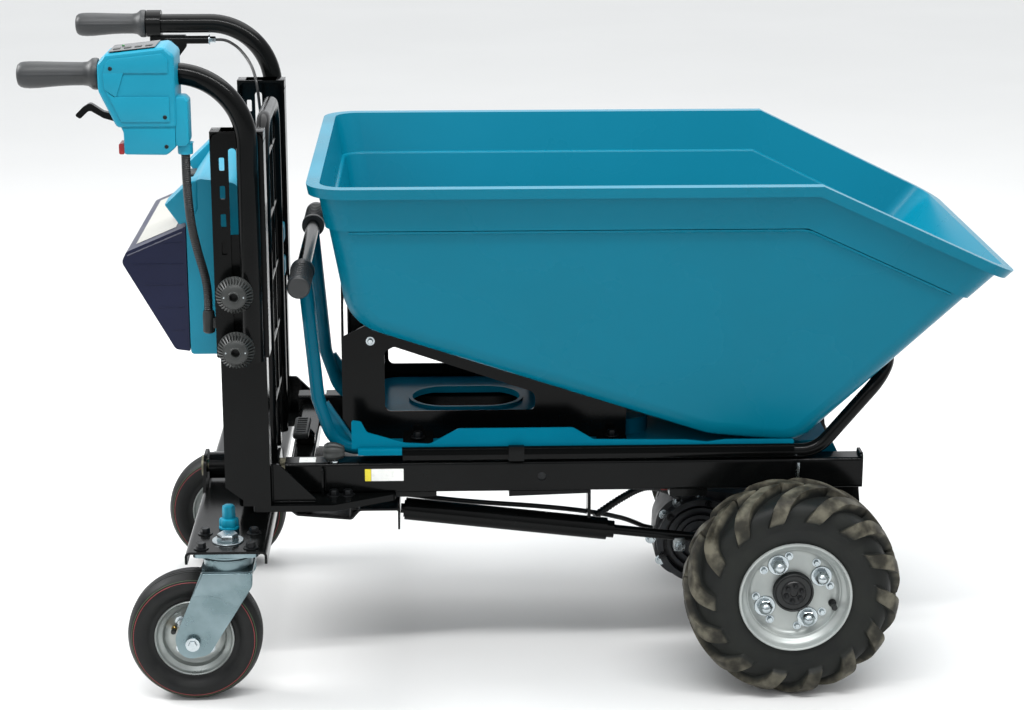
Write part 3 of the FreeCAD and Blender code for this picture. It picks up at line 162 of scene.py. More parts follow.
room = bpy.data.worlds.new("pale_room")
room.use_nodes = True
backdrop = room.node_tree.nodes["Background"]
backdrop.inputs["Color"].default_value = linear("#F4F6F8")
upward = add(room, "SeparateXYZ", {"Vector": add(room, "TexCoord").outputs["Generated"]})
glow = add(room, "MapRange", {
    "Value": upward.outputs["Z"],
    "From Min": 0.0,
    "From Max": 0.9,
    "To Min": 0.22,
    "To Max": 1.5,
})
behind = add(room, "MapRange", {
    "Value": upward.outputs["Y"],
    "From Min": 0.1,
    "From Max": 0.9,
    "To Min": 0.0,
    "To Max": 1.35,
})
either = add(room, "Math", {
    0: glow.outputs["Result"],
    1: behind.outputs["Result"],
}, operation="MAXIMUM")
room.node_tree.links.new(either.outputs["Value"], backdrop.inputs["Strength"])
bpy.context.scene.world = room

SOFT_BOXES = {
    "overhead": ((0.2, 1.0, 3.4), (0.1, 0, 0.4), (3.0, 3.0), 80),
    "handle_end": ((-2.4, 0.2, 2.2), (0.5, 0, 0.7), (1.0, 1.0), 60),
    "front": ((-1.4, -3.6, 2.4), (0, 0, 0.5), (2.0, 1.4), 12),
    "strip": ((0.2, -1.5, 2.9), (0, 0, 0.6), (3.2, 0.15), 70),
}
for name, (place, target, size, power) in SOFT_BOXES.items():
    lamp_data = bpy.data.lights.new(name, "AREA")
    lamp_data.shape = "RECTANGLE"
    lamp_data.size, lamp_data.size_y = size
    lamp_data.energy = power
    lamp = bpy.data.objects.new(name, lamp_data)
    lamp.location = place
    lamp.rotation_euler = (Vector(target) - Vector(place)).to_track_quat("-Z", "Y").to_euler()
    bpy.context.collection.objects.link(lamp)

# ---- Chassis frame ----
# Rails, cross members, masts, feet and the castor beam are cut, bent and welded steel, powder
# coated black: smooth orange peel about 2 mm across, drawn at 3 mm so that it shows, with a
# semi-gloss that breaks up a little where hands and dust have been.

black_powder_coat = finish(
    "black_powder_coat_on_steel", ("#050606", "#0B0C0C"), 0.12, (0.14, 0.23), 0.003, 0.00005,
    ior=1.22,
)


def paint(material, *names):
    """Gives CAD nodes a finish in place of their plain one."""
    for name in names:
        for slot in nodes[name].material_slots:
            slot.material = material


paint(
    black_powder_coat,
    "rails", "cross_members", "masts", "mast_feet", "mast_tie", "castor_beam", "guard",
    "axle_brackets", "under_tray", "hinge_brackets", "handle_sleeves", "handle_tubes",
    "bed_hoop", "bucket_bracket", "brake_bracket", "stay_sleeve", "stay_rod", "drive_lever",
    "brake_lever",
)

# ---- Blank rail stickers ----
# A white vinyl strip with a yellow end is on each rail's outer side, and a small white square
# on its top. They are printed film, left bare here, with the faint gloss of laminate.

white_vinyl = finish("white_vinyl_film", ("#DEE0DC", "#E9EAE6"), 0.01, (0.25, 0.35), 0.001, 0.00001)
yellow_vinyl = finish("yellow_vinyl_film", ("#D6C51D", "#E0D02C"), 0.01, (0.25, 0.35), 0.001, 0.00001)
RAIL_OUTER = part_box("rails")[1][1]
RAIL_TOP = 0.352
FILM = 0.0004


def span(side, inner, outer):
    """Two distances from the middle plane as values of y on one side, the lower first."""
    return sorted((side * inner, side * outer))


for side, word in SIDES:
    near, far = span(side, RAIL_OUTER, RAIL_OUTER + FILM)
    film = block((-0.242, near, 0.322), (-0.191, far, 0.342), 0.0001, 1)
    piece(f"rail_sticker_white_{word}", film, white_vinyl, "chassis")
    film = block((-0.252, near, 0.322), (-0.2424, far, 0.342), 0.0001, 1)
    piece(f"rail_sticker_yellow_{word}", film, yellow_vinyl, "chassis")
    near, far = span(side, 0.176, 0.200)
    film = block((-0.356, near, RAIL_TOP), (-0.330, far, RAIL_TOP + FILM), 0.0001, 1)
    piece(f"rail_top_sticker_{word}", film, white_vinyl, "chassis")

# ---- Frame bolts and rail angles ----
# Blackened hex bolts with washers hold the mast feet and the castor plates. Small angles are on
# the rails' outer sides, black beside the masts and bright zinc plated by the hinge, and hand
# welds show at the masts.

black_oxide = finish(
    "black_oxide_on_steel", ("#111213", "#1E2022"), 0.006, (0.28, 0.45), 0.001, 0.00003, 0.6
)
zinc_plate = finish(
    "bright_zinc_on_steel", ("#A3ACB0", "#C3CBCE"), 0.02, (0.18, 0.30), 0.0012, 0.00003, 1.0
)


def skin(made, rings, capped=True):
    """Adds the faces from each ring of corners to the next, and over both ends if capped."""
    if capped:
        made.faces.new(rings[0][::-1])
        made.faces.new(rings[-1])
    for lower, upper in zip(rings, rings[1:]):
        for index in range(len(lower)):
            after = (index + 1) % len(lower)
            made.faces.new((lower[index], lower[after], upper[after], upper[index]))


def stack(made, outline, count=24, lobes=0, dip=0.0):
    """Closed solid about the upright axis from (radius, height) pairs, lowest first.

    Its radius dips by a share between lobes, if it has any.
    """
    turns = [math.tau * index / count for index in range(count)]
    rings = []
    for radius, level in outline:
        ring = []
        for turn in turns:
            reach = max(radius, 1e-5) * (1 - dip * (0.5 - 0.5 * math.cos(lobes * turn)) ** 2)
            ring.append(made.verts.new((reach * math.cos(turn), reach * math.sin(turn), level)))
        rings.append(ring)
    skin(made, rings)


def turned(outline, count=24):
    """A mesh in the making: one closed solid about the upright axis."""
    made = bmesh.new()
    stack(made, outline, count)
    return made


def hex_head(across, height):
    """A hex head with a chamfered top on a round washer."""
    made = bmesh.new()
    corner = across / math.sqrt(3)
    washer = 0.0016
    stack(made, [(across * 0.88, 0), (across * 0.9, washer * 0.5), (across * 0.88, washer)], 32)
    stack(made, [
        (corner, washer * 0.9),
        (corner, washer + height * 0.8),
        (corner * 0.86, washer + height),
        (corner * 0.55, washer + height * 0.99),
    ], 6)
    return made


def dome_nut(across, height):
    """An acorn nut: a hex with a washer below it and a dome above."""
    made = bmesh.new()
    corner = across / math.sqrt(3)
    stack(made, [(across * 0.78, 0), (across * 0.8, 0.001), (across * 0.76, 0.0025)], 40)
    stack(made, [(corner, 0.002), (corner, height * 0.42), (corner * 0.9, height * 0.47)], 6)
    dome = across * 0.5
    arcs = [math.radians(step * 10) for step in range(9)]
    stack(made, [
        (dome * math.cos(arc), height * 0.45 + height * 0.55 * math.sin(arc)) for arc in arcs
    ] + [(dome * 0.05, height)], 40)
    return made


AXES = {
    "+x": Matrix.Rotation(math.radians(90), 4, "Y"),
    "-x": Matrix.Rotation(math.radians(-90), 4, "Y"),
    "+y": Matrix.Rotation(math.radians(-90), 4, "X"),
    "-y": Matrix.Rotation(math.radians(90), 4, "X"),
    "+z": Matrix.Identity(4),
    "-z": Matrix.Rotation(math.radians(180), 4, "X"),
}


def scatter(name, pattern, spots, facing, material, body, sharp=30):
    """One piece made of a copy of a small part at each spot, all facing one way."""
    mesh = bpy.data.meshes.new("pattern")
    pattern.to_mesh(mesh)
    pattern.free()
    made = bmesh.new()
    for spot in spots:
        old = len(made.verts)
        made.from_mesh(mesh)
        made.verts.ensure_lookup_table()
        moved = made.verts[old:]
        bmesh.ops.transform(made, matrix=Matrix.Translation(spot) @ AXES[facing], verts=moved)
    bpy.data.meshes.remove(mesh)
    return piece(name, made, material, body, sharp)


def way(side, inward=False):
    """The facing of a part on one side: outwards, or inwards."""
    return "-y" if (side < 0) != inward else "+y"


CASTOR_X = -0.463
CASTOR_Y = 0.295
beam_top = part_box("castor_beam")[0][2] + 0.020
plate_bolts = [
    (CASTOR_X + dx, side * (CASTOR_Y + dy), beam_top)
    for side in (-1, 1)
    for dx in (-0.038, 0.038)
    for dy in (-0.033, 0.033)
]
scatter("castor_plate_bolts", hex_head(0.013, 0.008), plate_bolts, "+z", black_oxide, "chassis")


def weld_bead(name, start, end, radius=0.0026):
    """A run of overlapping beads, as a hand weld leaves, from one point to another."""
    start, end = Vector(start), Vector(end)
    count = round((end - start).length / (radius * 0.85))
    spots = [start.lerp(end, step / count) for step in range(count + 1)]
    bead = bmesh.new()
    bmesh.ops.create_icosphere(bead, subdivisions=2, radius=radius)
    return scatter(name, bead, spots, "+z", black_powder_coat, "chassis", 60)


SILL_TOP = 0.302
FOOT_BOLTS = ((-0.345, 0.226), (-0.301, 0.216), (-0.279, 0.216))
ANGLE_FOOT = 0.3018
for side, word in SIDES:
    foot_bolts = [(x, side * y, SILL_TOP) for x, y in FOOT_BOLTS]
    scatter(f"mast_foot_bolts_{word}", hex_head(0.013, 0.008), foot_bolts, "+z",
            black_oxide, "chassis")
    near, far = span(side, RAIL_OUTER, RAIL_OUTER + 0.018)
    upright = block((-0.320, near, ANGLE_FOOT), (-0.3165, far, 0.346), 0.0008)
    piece(f"rail_angle_{word}", upright, black_powder_coat, "chassis")
    foot = block((-0.320, near, ANGLE_FOOT), (-0.267, far, 0.3035), 0.0005)
    piece(f"rail_angle_foot_{word}", foot, black_powder_coat, "chassis")
    near, far = span(side, RAIL_OUTER, RAIL_OUTER + 0.016)
    web = block((0.432, near, 0.318), (0.436, far, 0.3505), 0.0008)
    piece(f"hinge_angle_{word}", web, zinc_plate, "chassis")
    y = side * 0.2500
    weld_bead(f"mast_weld_{word}", (-0.3955, y, 0.306), (-0.3955, y, 0.362))
    weld_bead(f"gusset_weld_{word}", (-0.392, y, 0.3035), (-0.330, y, 0.3035), 0.002)
    y = side * 0.2085
    weld_bead(f"angle_weld_{word}", (-0.3150, y, 0.308), (-0.3150, y, 0.344), 0.002)
    plug = turned([(0.0068, -0.004), (0.0068, -0.002)], 32)
    spots = [(0.028, side * 0.2065, 0.327)]
    scatter(f"rail_hole_plug_{word}", plug, spots, way(side), black_oxide, "chassis")

# ---- Sleeve caps ----
# A cap closes each handle sleeve square at its top. Fillets fill out the sleeve's two rounded
# corners under a thin plate that stands 0.2 mm proud, all powder coated with the sleeve.


def prism(outline, near, far, rounding=0.0, corners=2):
    """A mesh in the making: an (x, z) outline drawn between two values of y, edges rounded."""
    made = bmesh.new()
    ends = [[made.verts.new((x, y, z)) for x, z in outline] for y in (near, far)]
    made.faces.new(ends[0])
    made.faces.new(ends[1][::-1])
    skin(made, ends, capped=False)
    bmesh.ops.recalc_face_normals(made, faces=made.faces)
    if rounding:
        bmesh.ops.bevel(
            made, geom=made.edges[:], offset=rounding, segments=corners, affect="EDGES",
            profile=0.6, clamp_overlap=True,
        )
    return made


SLEEVE_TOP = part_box("handle_sleeves")[1][2]
for side, word in SIDES:
    near, far = span(side, 0.2295, 0.2690)
    for name, corner in (
        ("rear", ((-0.472, -0.001), (-0.472, -0.016), (-0.467, -0.005), (-0.456, -0.001))),
        ("front", ((-0.392, -0.001), (-0.408, -0.001), (-0.397, -0.005), (-0.392, -0.016))),
    ):
        outline = [(x, SLEEVE_TOP + z) for x, z in corner]
        piece(f"sleeve_cap_{name}_{word}", prism(outline, near, far), black_powder_coat, "handle")
    near, far = span(side, 0.2300, 0.2692)
    lid = block((-0.4722, near, SLEEVE_TOP - 0.0022), (-0.3918, far, SLEEVE_TOP), 0.0006)
    piece(f"sleeve_cap_plate_{word}", lid, black_powder_coat, "handle")

# ---- Castor forks, plates and axles ----
# Pressed steel forks turn on a ball race under their top plates. Both are zinc plated and
# passivated, which leaves a bluish, slightly cloudy metal, with a hex bolt as the axle. The
# pin that the castor beam rocks on is passivated olive.

blue_zinc = finish(
    "blue_passivated_zinc", ("#66787C", "#84959A"), 0.06, (0.24, 0.36), 0.002, 0.00004, 0.9
)
paint(blue_zinc, "castor_plates", "castor_fork_right", "castor_fork_left")
olive_zinc = finish(
    "olive_passivated_zinc", ("#6E6A5A", "#8A8674"), 0.012, (0.28, 0.42), 0.0015, 0.00004, 0.9
)
paint(olive_zinc, "beam_pivot")
kingpin = bmesh.new()
stack(kingpin, [(0.0240, 0), (0.0245, 0.0010), (0.0240, 0.0020)], 48)
stack(kingpin, [(0.0165, 0.0018), (0.0165, 0.0105), (0.0150, 0.0125), (0.0080, 0.0126)], 6)
kingpin_spots = [(CASTOR_X, side * CASTOR_Y, beam_top) for side in (-1, 1)]
scatter("castor_kingpin_nuts", kingpin, kingpin_spots, "+z", zinc_plate, "chassis")
race = bmesh.new()
stack(race, [(0.0400, 0.2350), (0.0445, 0.2372), (0.0452, 0.2392), (0.0425, 0.2405)], 64)
stack(race, [(0.0420, 0.2400), (0.0478, 0.2425), (0.0484, 0.2455), (0.0470, 0.2472)], 64)
race_spots = [(CASTOR_X, side * CASTOR_Y, 0) for side in (-1, 1)]
scatter("castor_race_flanges", race, race_spots, "+z", blue_zinc, "chassis")
FLARE = (
    (-0.0370, 0.2195), (0.0380, 0.2195), (0.0385, 0.2040), (0.0360, 0.1950), (0.0190, 0.1660),
    (0.0120, 0.1640), (0.0020, 0.1720), (-0.0110, 0.1790), (-0.0260, 0.1830), (-0.0420, 0.1835),
    (-0.0540, 0.1810), (-0.0520, 0.1870),
)
for side, word in SIDES:
    for face in (-1, 1):
        near, far = sorted((side * CASTOR_Y + face * 0.0412, side * CASTOR_Y + face * 0.0456))
        flare = prism([(CASTOR_X + x, z) for x, z in FLARE], near, far, 0.0016, 3)
        where = "outer" if face == side else "inner"
        piece(f"castor_fork_flare_{word}_{where}", flare, blue_zinc, f"castor_{word}", 50)
CASTOR_AXLE = Vector((-0.518, 0, 0.105))
for side, word in SIDES:
    for inward, face in ((False, CASTOR_Y + 0.050), (True, CASTOR_Y - 0.050)):
        spot = (CASTOR_AXLE.x, side * face, CASTOR_AXLE.z)
        name = f"castor_axle_head_{word}_{'inner' if inward else 'outer'}"
        scatter(name, hex_head(0.0125, 0.003), [spot], way(side, inward), zinc_plate,
                f"castor_{word}")

# ---- Castor wheels ----
# Pneumatic castor tyres with four shallow tread grooves, and a red and a green line moulded
# on the shoulder. The rims are pressed steel in silver lacquer, in two halves held by four
# zinc bolts, with a brass valve under a black cap.


def spun(outline, steps=96):
    """Closed ring about the Y axis from (radius, offset) pairs that go once round its section."""
    made = bmesh.new()
    rings = []
    for step in range(steps):
        angle = math.tau * step / steps
        rings.append([
            made.verts.new((radius * math.cos(angle), offset, radius * math.sin(angle)))
            for radius, offset in outline
        ])
    skin(made, rings + rings[:1], capped=False)
    return made


def shifted(made, spot):
    """Moves a mesh in the making to its place."""
    bmesh.ops.translate(made, vec=spot, verts=made.verts)
    return made


def smooth_line(points, count):
    """Points at even steps on a smooth curve through the given ones, ends included."""
    padded = [points[0], *points, points[-1]]
    line = []
    for step in range(count + 1):
        along = min(step / count * (len(points) - 1), len(points) - 1 - 1e-9)
        index = int(along)
        t = along - index
        p0, p1, p2, p3 = (Vector(p) for p in padded[index:index + 4])
        line.append(0.5 * (
            2 * p1 + (p2 - p0) * t + (2 * p0 - 5 * p1 + 4 * p2 - p3) * t * t
            + (3 * p1 - p0 - 3 * p2 + p3) * t ** 3
        ))
    return line


castor_rubber = finish(
    "castor_tyre_rubber", ("#0E0F10", "#181918"), 0.03, (0.42, 0.60), 0.0015, 0.00008, ior=1.32
)
silver_lacquer = finish(
    "silver_lacquer_on_steel", ("#8D9290", "#A4A9A6"), 0.05, (0.26, 0.36), 0.0015, 0.00003, 0.7
)
green_line = finish("green_moulded_line", ("#34472A", "#425634"), 0.02, (0.5, 0.6), 0.001, 0.00002)
red_line = finish("red_moulded_line", ("#7A2A2C", "#8C3436"), 0.02, (0.5, 0.6), 0.001, 0.00002)
brass = finish("drawn_brass", ("#8C7440", "#A48A50"), 0.004, (0.25, 0.4), 0.001, 0.00002, 1.0)
black_nylon = finish(
    "moulded_black_nylon", ("#161818", "#202222"), 0.02, (0.34, 0.46), 0.0012, 0.00005, ior=1.4
)

HALF_SECTION = [
    (0.062, 0.0205), (0.069, 0.0215), (0.076, 0.0265), (0.0825, 0.0298), (0.0895, 0.0300),
    (0.0955, 0.0272), (0.1000, 0.0225), (0.1030, 0.0165), (0.1044, 0.0128),
]
GROOVES = [0.0110, 0.0104, 0.0096, 0.0090, 0.0046, 0.0040, 0.0032, 0.0026]
GROOVE_DEPTH = (0, 0.0018, 0.0018, 0, 0, 0.0018, 0.0018, 0)
outer = smooth_line([(*p, 0) for p in HALF_SECTION], 40)
castor_half = [(p.x, p.y) for p in outer]
castor_half += [
    (0.105 - 6 * offset ** 2 - depth, offset) for offset, depth in zip(GROOVES, GROOVE_DEPTH)
]
castor_section = castor_half + [(radius, -offset) for radius, offset in castor_half[::-1]]


def round_ring(radius, offset, thick):
    """A ring about the Y axis with a small round section."""
    turns = [math.tau * step / 10 for step in range(10)]
    return spun([(radius + thick * math.cos(t), offset + thick * math.sin(t)) for t in turns], 120)


def on_wheel(centre, side, angle, radius, out):
    """A spot on a wheel's face, by its angle in degrees, radius and distance out."""
    turn = math.radians(angle)
    return centre + Vector((radius * math.cos(turn), side * out, radius * math.sin(turn)))


CASTOR_RIM_HALF = [
    (0.0600, 0.0205), (0.0618, 0.0222), (0.0620, 0.0245), (0.0606, 0.0256), (0.0592, 0.0246),
    (0.0584, 0.0222), (0.0560, 0.0200), (0.0525, 0.0186), (0.0500, 0.0170), (0.0490, 0.0140),
    (0.0470, 0.0100), (0.0430, 0.0078), (0.0380, 0.0070), (0.0200, 0.0070), (0.0190, 0.0080),
    (0.0180, 0.0350), (0.0165, 0.0360), (0.0068, 0.0360),
]
CASTOR_RIM = CASTOR_RIM_HALF + [(radius, -offset) for radius, offset in CASTOR_RIM_HALF[::-1]]
for side, word in SIDES:
    body = f"castor_wheel_{word}"
    hub = Vector((CASTOR_AXLE.x, side * CASTOR_Y, CASTOR_AXLE.z))
    tyre = piece(f"castor_tyre_moulded_{word}", shifted(spun(castor_section, 120), hub),
                 castor_rubber, body, 40)
    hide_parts(f"castor_tyre_{word}")
    for name, radius, offset, material in (
        ("red", 0.0940, 0.0283, red_line),
        ("green", 0.0968, 0.0264, green_line),
    ):
        for face in (-1, 1):
            ring = shifted(round_ring(radius, face * offset, 0.0005), hub)
            where = "outer" if face == side else "inner"
            piece(f"castor_{name}_line_{word}_{where}", ring, material, body)
    rim = piece(f"castor_rim_pressed_{word}", shifted(spun(CASTOR_RIM, 120), hub),
                silver_lacquer, body, 30)
    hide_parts(f"castor_rim_{word}")
    bolt_spots = [on_wheel(hub, side, 45 + 90 * index, 0.031, 0.007) for index in range(4)]
    scatter(f"castor_rim_bolts_{word}", hex_head(0.010, 0.006), bolt_spots, way(side),
            zinc_plate, body)
    inner_spots = [Vector((s.x, 2 * hub.y - s.y, s.z)) for s in bolt_spots]
    scatter(f"castor_rim_nuts_{word}", hex_head(0.010, 0.005), inner_spots, way(side, True),
            zinc_plate, body)
    valve_spot = on_wheel(hub, side, 162, 0.034, 0.007)
    stem = turned([(0.0045, 0), (0.0045, 0.004), (0.0028, 0.006), (0.0028, 0.011)], 20)
    scatter(f"castor_valve_{word}", stem, [valve_spot], way(side), brass, body)
    cap = turned([(0.0036, 0.010), (0.0040, 0.011), (0.0040, 0.017), (0.0030, 0.019)], 20)
    scatter(f"castor_valve_cap_{word}", cap, [valve_spot], way(side), black_nylon, body)

# ---- Drive tyres ----
# Wide farm tyres: fourteen swept lugs each side of the middle, set half a pitch apart, stand
# 15 mm off the carcass and end as blocks on the shoulder. Dust clings to their scuffed tops.

LUGS = 14
LUG_HEIGHT = 0.0148
LUG_PERIOD = math.tau / LUGS
CARCASS = [
    (0.0842, 0.0478), (0.0880, 0.0500), (0.0980, 0.0526), (0.1120, 0.0545), (0.1250, 0.0540),
    (0.1360, 0.0514), (0.1450, 0.0458), (0.1508, 0.0365), (0.1540, 0.0200), (0.1548, 0.0),
]
LUG_TOP = (
    (0.000, LUG_HEIGHT), (0.034, LUG_HEIGHT), (0.046, 0.0138), (0.056, 0.0118), (0.068, 0.0090),
    (0.120, 0.0080),
)
# Fine raised lines round the sidewall: height, distance from the middle, width.
WALL_LINES = ((0.0008, 0.084, 0.0012), (0.0010, 0.110, 0.0015))
LUG_START = -0.006
LUG_END = 0.0735
EDGE = 0.0028


def between(pairs, value):
    """The second number of a list of pairs at a value of the first, on straight lines."""
    for (x0, y0), (x1, y1) in zip(pairs, pairs[1:]):
        if value <= x1:
            return y0 + (y1 - y0) * max(value - x0, 0) / (x1 - x0)
    return pairs[-1][1]


def soft_step(value):
    """0 below 0, 1 above 1, and a smooth rise between."""
    value = min(max(value, 0), 1)
    return value * value * (3 - 2 * value)


def lug_sweep(along):
    """How far round, in radians, a lug has swept back at a distance from the middle."""
    return between(((0, 0), (0.050, 0.40), (0.100, 0.66)), along)


def carcass_rows():
    """(radius, offset, normal, distance from the middle) from the outer bead to the inner one."""
    half = smooth_line([(*p, 0) for p in CARCASS], 54)
    line = half + [Vector((p.x, -p.y, 0)) for p in half[-2::-1]]
    lengths = [0.0]
    for before, after in zip(line, line[1:]):
        lengths.append(lengths[-1] + (after - before).length)
    middle = lengths[-1] / 2
    rows = []
    for index, spot in enumerate(line):
        tangent = line[min(index + 1, len(line) - 1)] - line[max(index - 1, 0)]
        normal = Vector((-tangent.y, tangent.x, 0)).normalized()
        rows.append((spot, normal, middle - lengths[index]))
    return rows


def lug_columns():
    """Angles, within half a lug's period, that put a row of corners along every lug edge."""
    reach = 0.165
    flat = 0.0165 - 0.0020
    marks = [0, 0.005, 0.010, flat]
    marks += [flat + EDGE * part for part in (0.33, 0.66, 1)]
    half_period = LUG_PERIOD / 2 * reach
    marks += [half_period - mark for mark in marks[:0:-1]]
    return [mark / reach for mark in marks], flat / reach, EDGE / reach


def farm_tyre(side):
    """The lugged tyre about its own centre, with a point value that says how worn it is."""
    made = bmesh.new()
    worn = made.verts.layers.float.new("worn")
    marks, top_half, edge = lug_columns()
    turns = [step * LUG_PERIOD / 2 + mark for step in range(2 * LUGS) for mark in marks]
    rings = []
    for spot, normal, along in carcass_rows():
        ring = []
        for turn in turns:
            raised = 0.0
            for hand, offset in ((1, 0.0), (-1, LUG_PERIOD / 2)):
                away = along * hand
                lug = (turn + offset) % LUG_PERIOD
                lug = min(lug, LUG_PERIOD - lug)
                across = 1 - soft_step((lug - top_half) / edge)
                length = soft_step((away - LUG_START) / 0.004) * soft_step((LUG_END - away) / 0.007)
                raised = max(raised, across * length * between(LUG_TOP, abs(away)))
            ridge = sum(
                height * math.exp(-((abs(along) - middle) / width) ** 2)
                for height, middle, width in WALL_LINES
            )
            spot_up = spot + normal * (raised + ridge)
            angle = -side * (turn + lug_sweep(abs(along)))
            corner = made.verts.new((
                spot_up.x * math.cos(angle), side * spot_up.y, spot_up.x * math.sin(angle)
            ))
            corner[worn] = raised / LUG_HEIGHT
            ring.append(corner)
        rings.append(ring)
    for bead in (rings[-1], rings[0]):
        rings.append([
            made.verts.new((v.co.x * 0.985, v.co.y * 0.94, v.co.z * 0.985)) for v in bead
        ])
    skin(made, rings + rings[:1], capped=False)
    return made


def cover(material, amount, colour):
    """Lays another colour over a finish's two tones, as far as the linked amount says."""
    tones = material.node_tree.nodes["tones"].outputs["Color"]
    blend = add(material, "Mix", {0: amount, 6: tones, 7: colour}, data_type="RGBA")
    shader = material.node_tree.nodes["Principled BSDF"]
    material.node_tree.links.new(blend.outputs[2], shader.inputs["Base Color"])


farm_rubber = finish(
    "farm_tyre_rubber", ("#141615", "#1F211E"), 0.05, (0.46, 0.66), 0.002, 0.00012, ior=1.3
)
wear = add(farm_rubber, "Attribute", attribute_name="worn")
where = add(farm_rubber, "TexCoord").outputs["Object"]
scuffs = add(farm_rubber, "TexNoise", {"Vector": where, "Scale": 38.0, "Detail": 7.0})
amount = add(farm_rubber, "Math", {
    0: wear.outputs["Fac"],
    1: scuffs.outputs["Fac"],
}, operation="MULTIPLY")
dusty = add(farm_rubber, "MapRange", {
    "Value": amount.outputs["Value"],
    "From Min": 0.12,
    "From Max": 0.62,
    "To Max": 0.85,
})
dust = add(farm_rubber, "ValToRGB", {"Fac": scuffs.outputs["Fac"]})
dust.color_ramp.elements[0].position = 0.4
dust.color_ramp.elements[0].color = linear("#3C372C")
dust.color_ramp.elements[1].position = 0.62
dust.color_ramp.elements[1].color = linear("#6E6A5C")
cover(farm_rubber, dusty.outputs["Result"], dust.outputs["Color"])

DRIVE_AXLE = Vector((0.417, 0, 0.170))
DRIVE_Y = 0.290
for side, word in SIDES:
    centre = Vector((DRIVE_AXLE.x, side * DRIVE_Y, DRIVE_AXLE.z))
    tyre = piece(f"farm_tyre_{word}", shifted(farm_tyre(side), centre), farm_rubber,
                 f"drive_wheel_{word}", 50)
    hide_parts(f"drive_tyre_{word}")

# ---- Drive rims and hubs ----
# Dished steel rims in silver paint, bolted to the hub by four big zinc dome nuts and held
# together by eight small bolts, with a valve beside the dish. The hub's cap is black.

RIM_SECTION = [
    (0.0870, 0.0478), (0.0884, 0.0505), (0.0888, 0.0535), (0.0878, 0.0558), (0.0861, 0.0564),
    (0.0846, 0.0553), (0.0838, 0.0530), (0.0832, 0.0490), (0.0820, 0.0455), (0.0795, 0.0425),
    (0.0762, 0.0400), (0.0742, 0.0380), (0.0732, 0.0350), (0.0722, 0.0345), (0.0710, 0.0310),
    (0.0690, 0.0270), (0.0660, 0.0248), (0.0625, 0.0240), (0.0600, 0.0243), (0.0590, 0.0240),
    (0.0158, 0.0240), (0.0158, 0.0200), (0.0600, 0.0200), (0.0660, 0.0170), (0.0680, 0.0100),
    (0.0685, -0.0400), (0.0720, -0.0440), (0.0800, -0.0470), (0.0836, -0.0530), (0.0860, -0.0560),
    (0.0884, -0.0535), (0.0880, -0.0500), (0.0835, -0.0440), (0.0740, -0.0400), (0.0740, 0.0330),
    (0.0825, 0.0440),
]
painted_hub = finish(
    "black_painted_hub_casting", ("#0D0E0F", "#161718"), 0.02, (0.25, 0.4), 0.002, 0.00008, ior=1.4
)
paint(black_nylon, "drive_hub_right", "drive_hub_left")
silver_paint = finish(
    "silver_paint_on_pressed_steel", ("#A0A5A3", "#AEB3B0"), 0.05, (0.30, 0.42), 0.0015, 0.00003,
    0.35,
)
DISH = 0.024
for side, word in SIDES:
    body = f"drive_wheel_{word}"
    centre = Vector((DRIVE_AXLE.x, side * DRIVE_Y, DRIVE_AXLE.z))
    section = [(radius, side * offset) for radius, offset in RIM_SECTION]
    rim = piece(f"pressed_rim_{word}", shifted(spun(section, 144), centre), silver_paint, body, 30)
    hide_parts(f"drive_rim_{word}")
    collar = shifted(round_ring(0.0300, side * 0.0335, 0.0016), centre)
    piece(f"hub_cap_collar_{word}", collar, black_nylon, body)
    boss = turned([
        (0.0195, 0), (0.0195, 0.0016), (0.0180, 0.0030), (0.0060, 0.0030), (0.0052, 0.0012),
    ], 40)
    stem = turned([(0.0065, 0), (0.006, 0.004), (0.0038, 0.007), (0.0034, 0.016)])
    cap = turned([(0.0040, 0.015), (0.0046, 0.016), (0.0046, 0.023), (0.0034, 0.025)])
    first_nut = 29 if side < 0 else 61
    for name, part, count, first, radius, out, material in (
        ("hub_boss", boss, 1, 0, 0, 0.0335, painted_hub),
        ("wheel_nuts", dome_nut(0.021, 0.022), 4, first_nut, 0.050, DISH, zinc_plate),
        ("rim_bolts", hex_head(0.0075, 0.005), 8, 8, 0.0585, DISH, zinc_plate),
        ("hub_cap_bolts", hex_head(0.0055, 0.0025), 6, 20, 0.0125, 0.0364, black_oxide),
        ("drive_valve", stem, 1, -18, 0.0655, 0.026, castor_rubber),
        ("drive_valve_cap", cap, 1, -18, 0.0655, 0.026, black_nylon),
    ):
        spots = [
            on_wheel(centre, side, first + 360 / count * index, radius, out)
            for index in range(count)
        ]
        scatter(f"{name}_{word}", part, spots, way(side), material, body)

# ---- Bucket ----
# One rotationally moulded polyethylene tub. The skin is satin and even, with a fine pebble
# about 1.5 mm across from the mould, drawn at 2.5 mm so that it shows.

moulded_bucket = finish(
    "teal_rotomoulded_polyethylene", ("#006980", "#006C84"), 0.25, (0.24, 0.32), 0.0025, 0.00012,
    ior=1.22,
)
paint(moulded_bucket, "bucket")

# Where a fine bead runs under the stepped band, from the rear corner to the nose, and its
# section: how far out of the wall and how far down.
BEAD_RUN = ((-0.266, 0.7500), (0.414, 0.7500), (0.427, 0.7472), (0.648, 0.6418))
BEAD_FORM = (
    (-0.0010, 0.0013), (0.0042, 0.0013), (0.0048, 0.0026), (0.0036, 0.0050), (-0.0010, 0.0062),
)
RIM_LEVEL = 0.820
WALL_AT_RIM = 0.330
WALL_LEAN = 0.277
for side, word in SIDES:
    bead = bmesh.new()
    rings = []
    for x, level in BEAD_RUN:
        wall = WALL_AT_RIM - WALL_LEAN * (RIM_LEVEL - level)
        rings.append([
            bead.verts.new((x, side * (wall + out), level - down)) for out, down in BEAD_FORM
        ])
    skin(bead, rings)
    piece(f"bucket_band_bead_{word}", bead, moulded_bucket, "bed", 50)

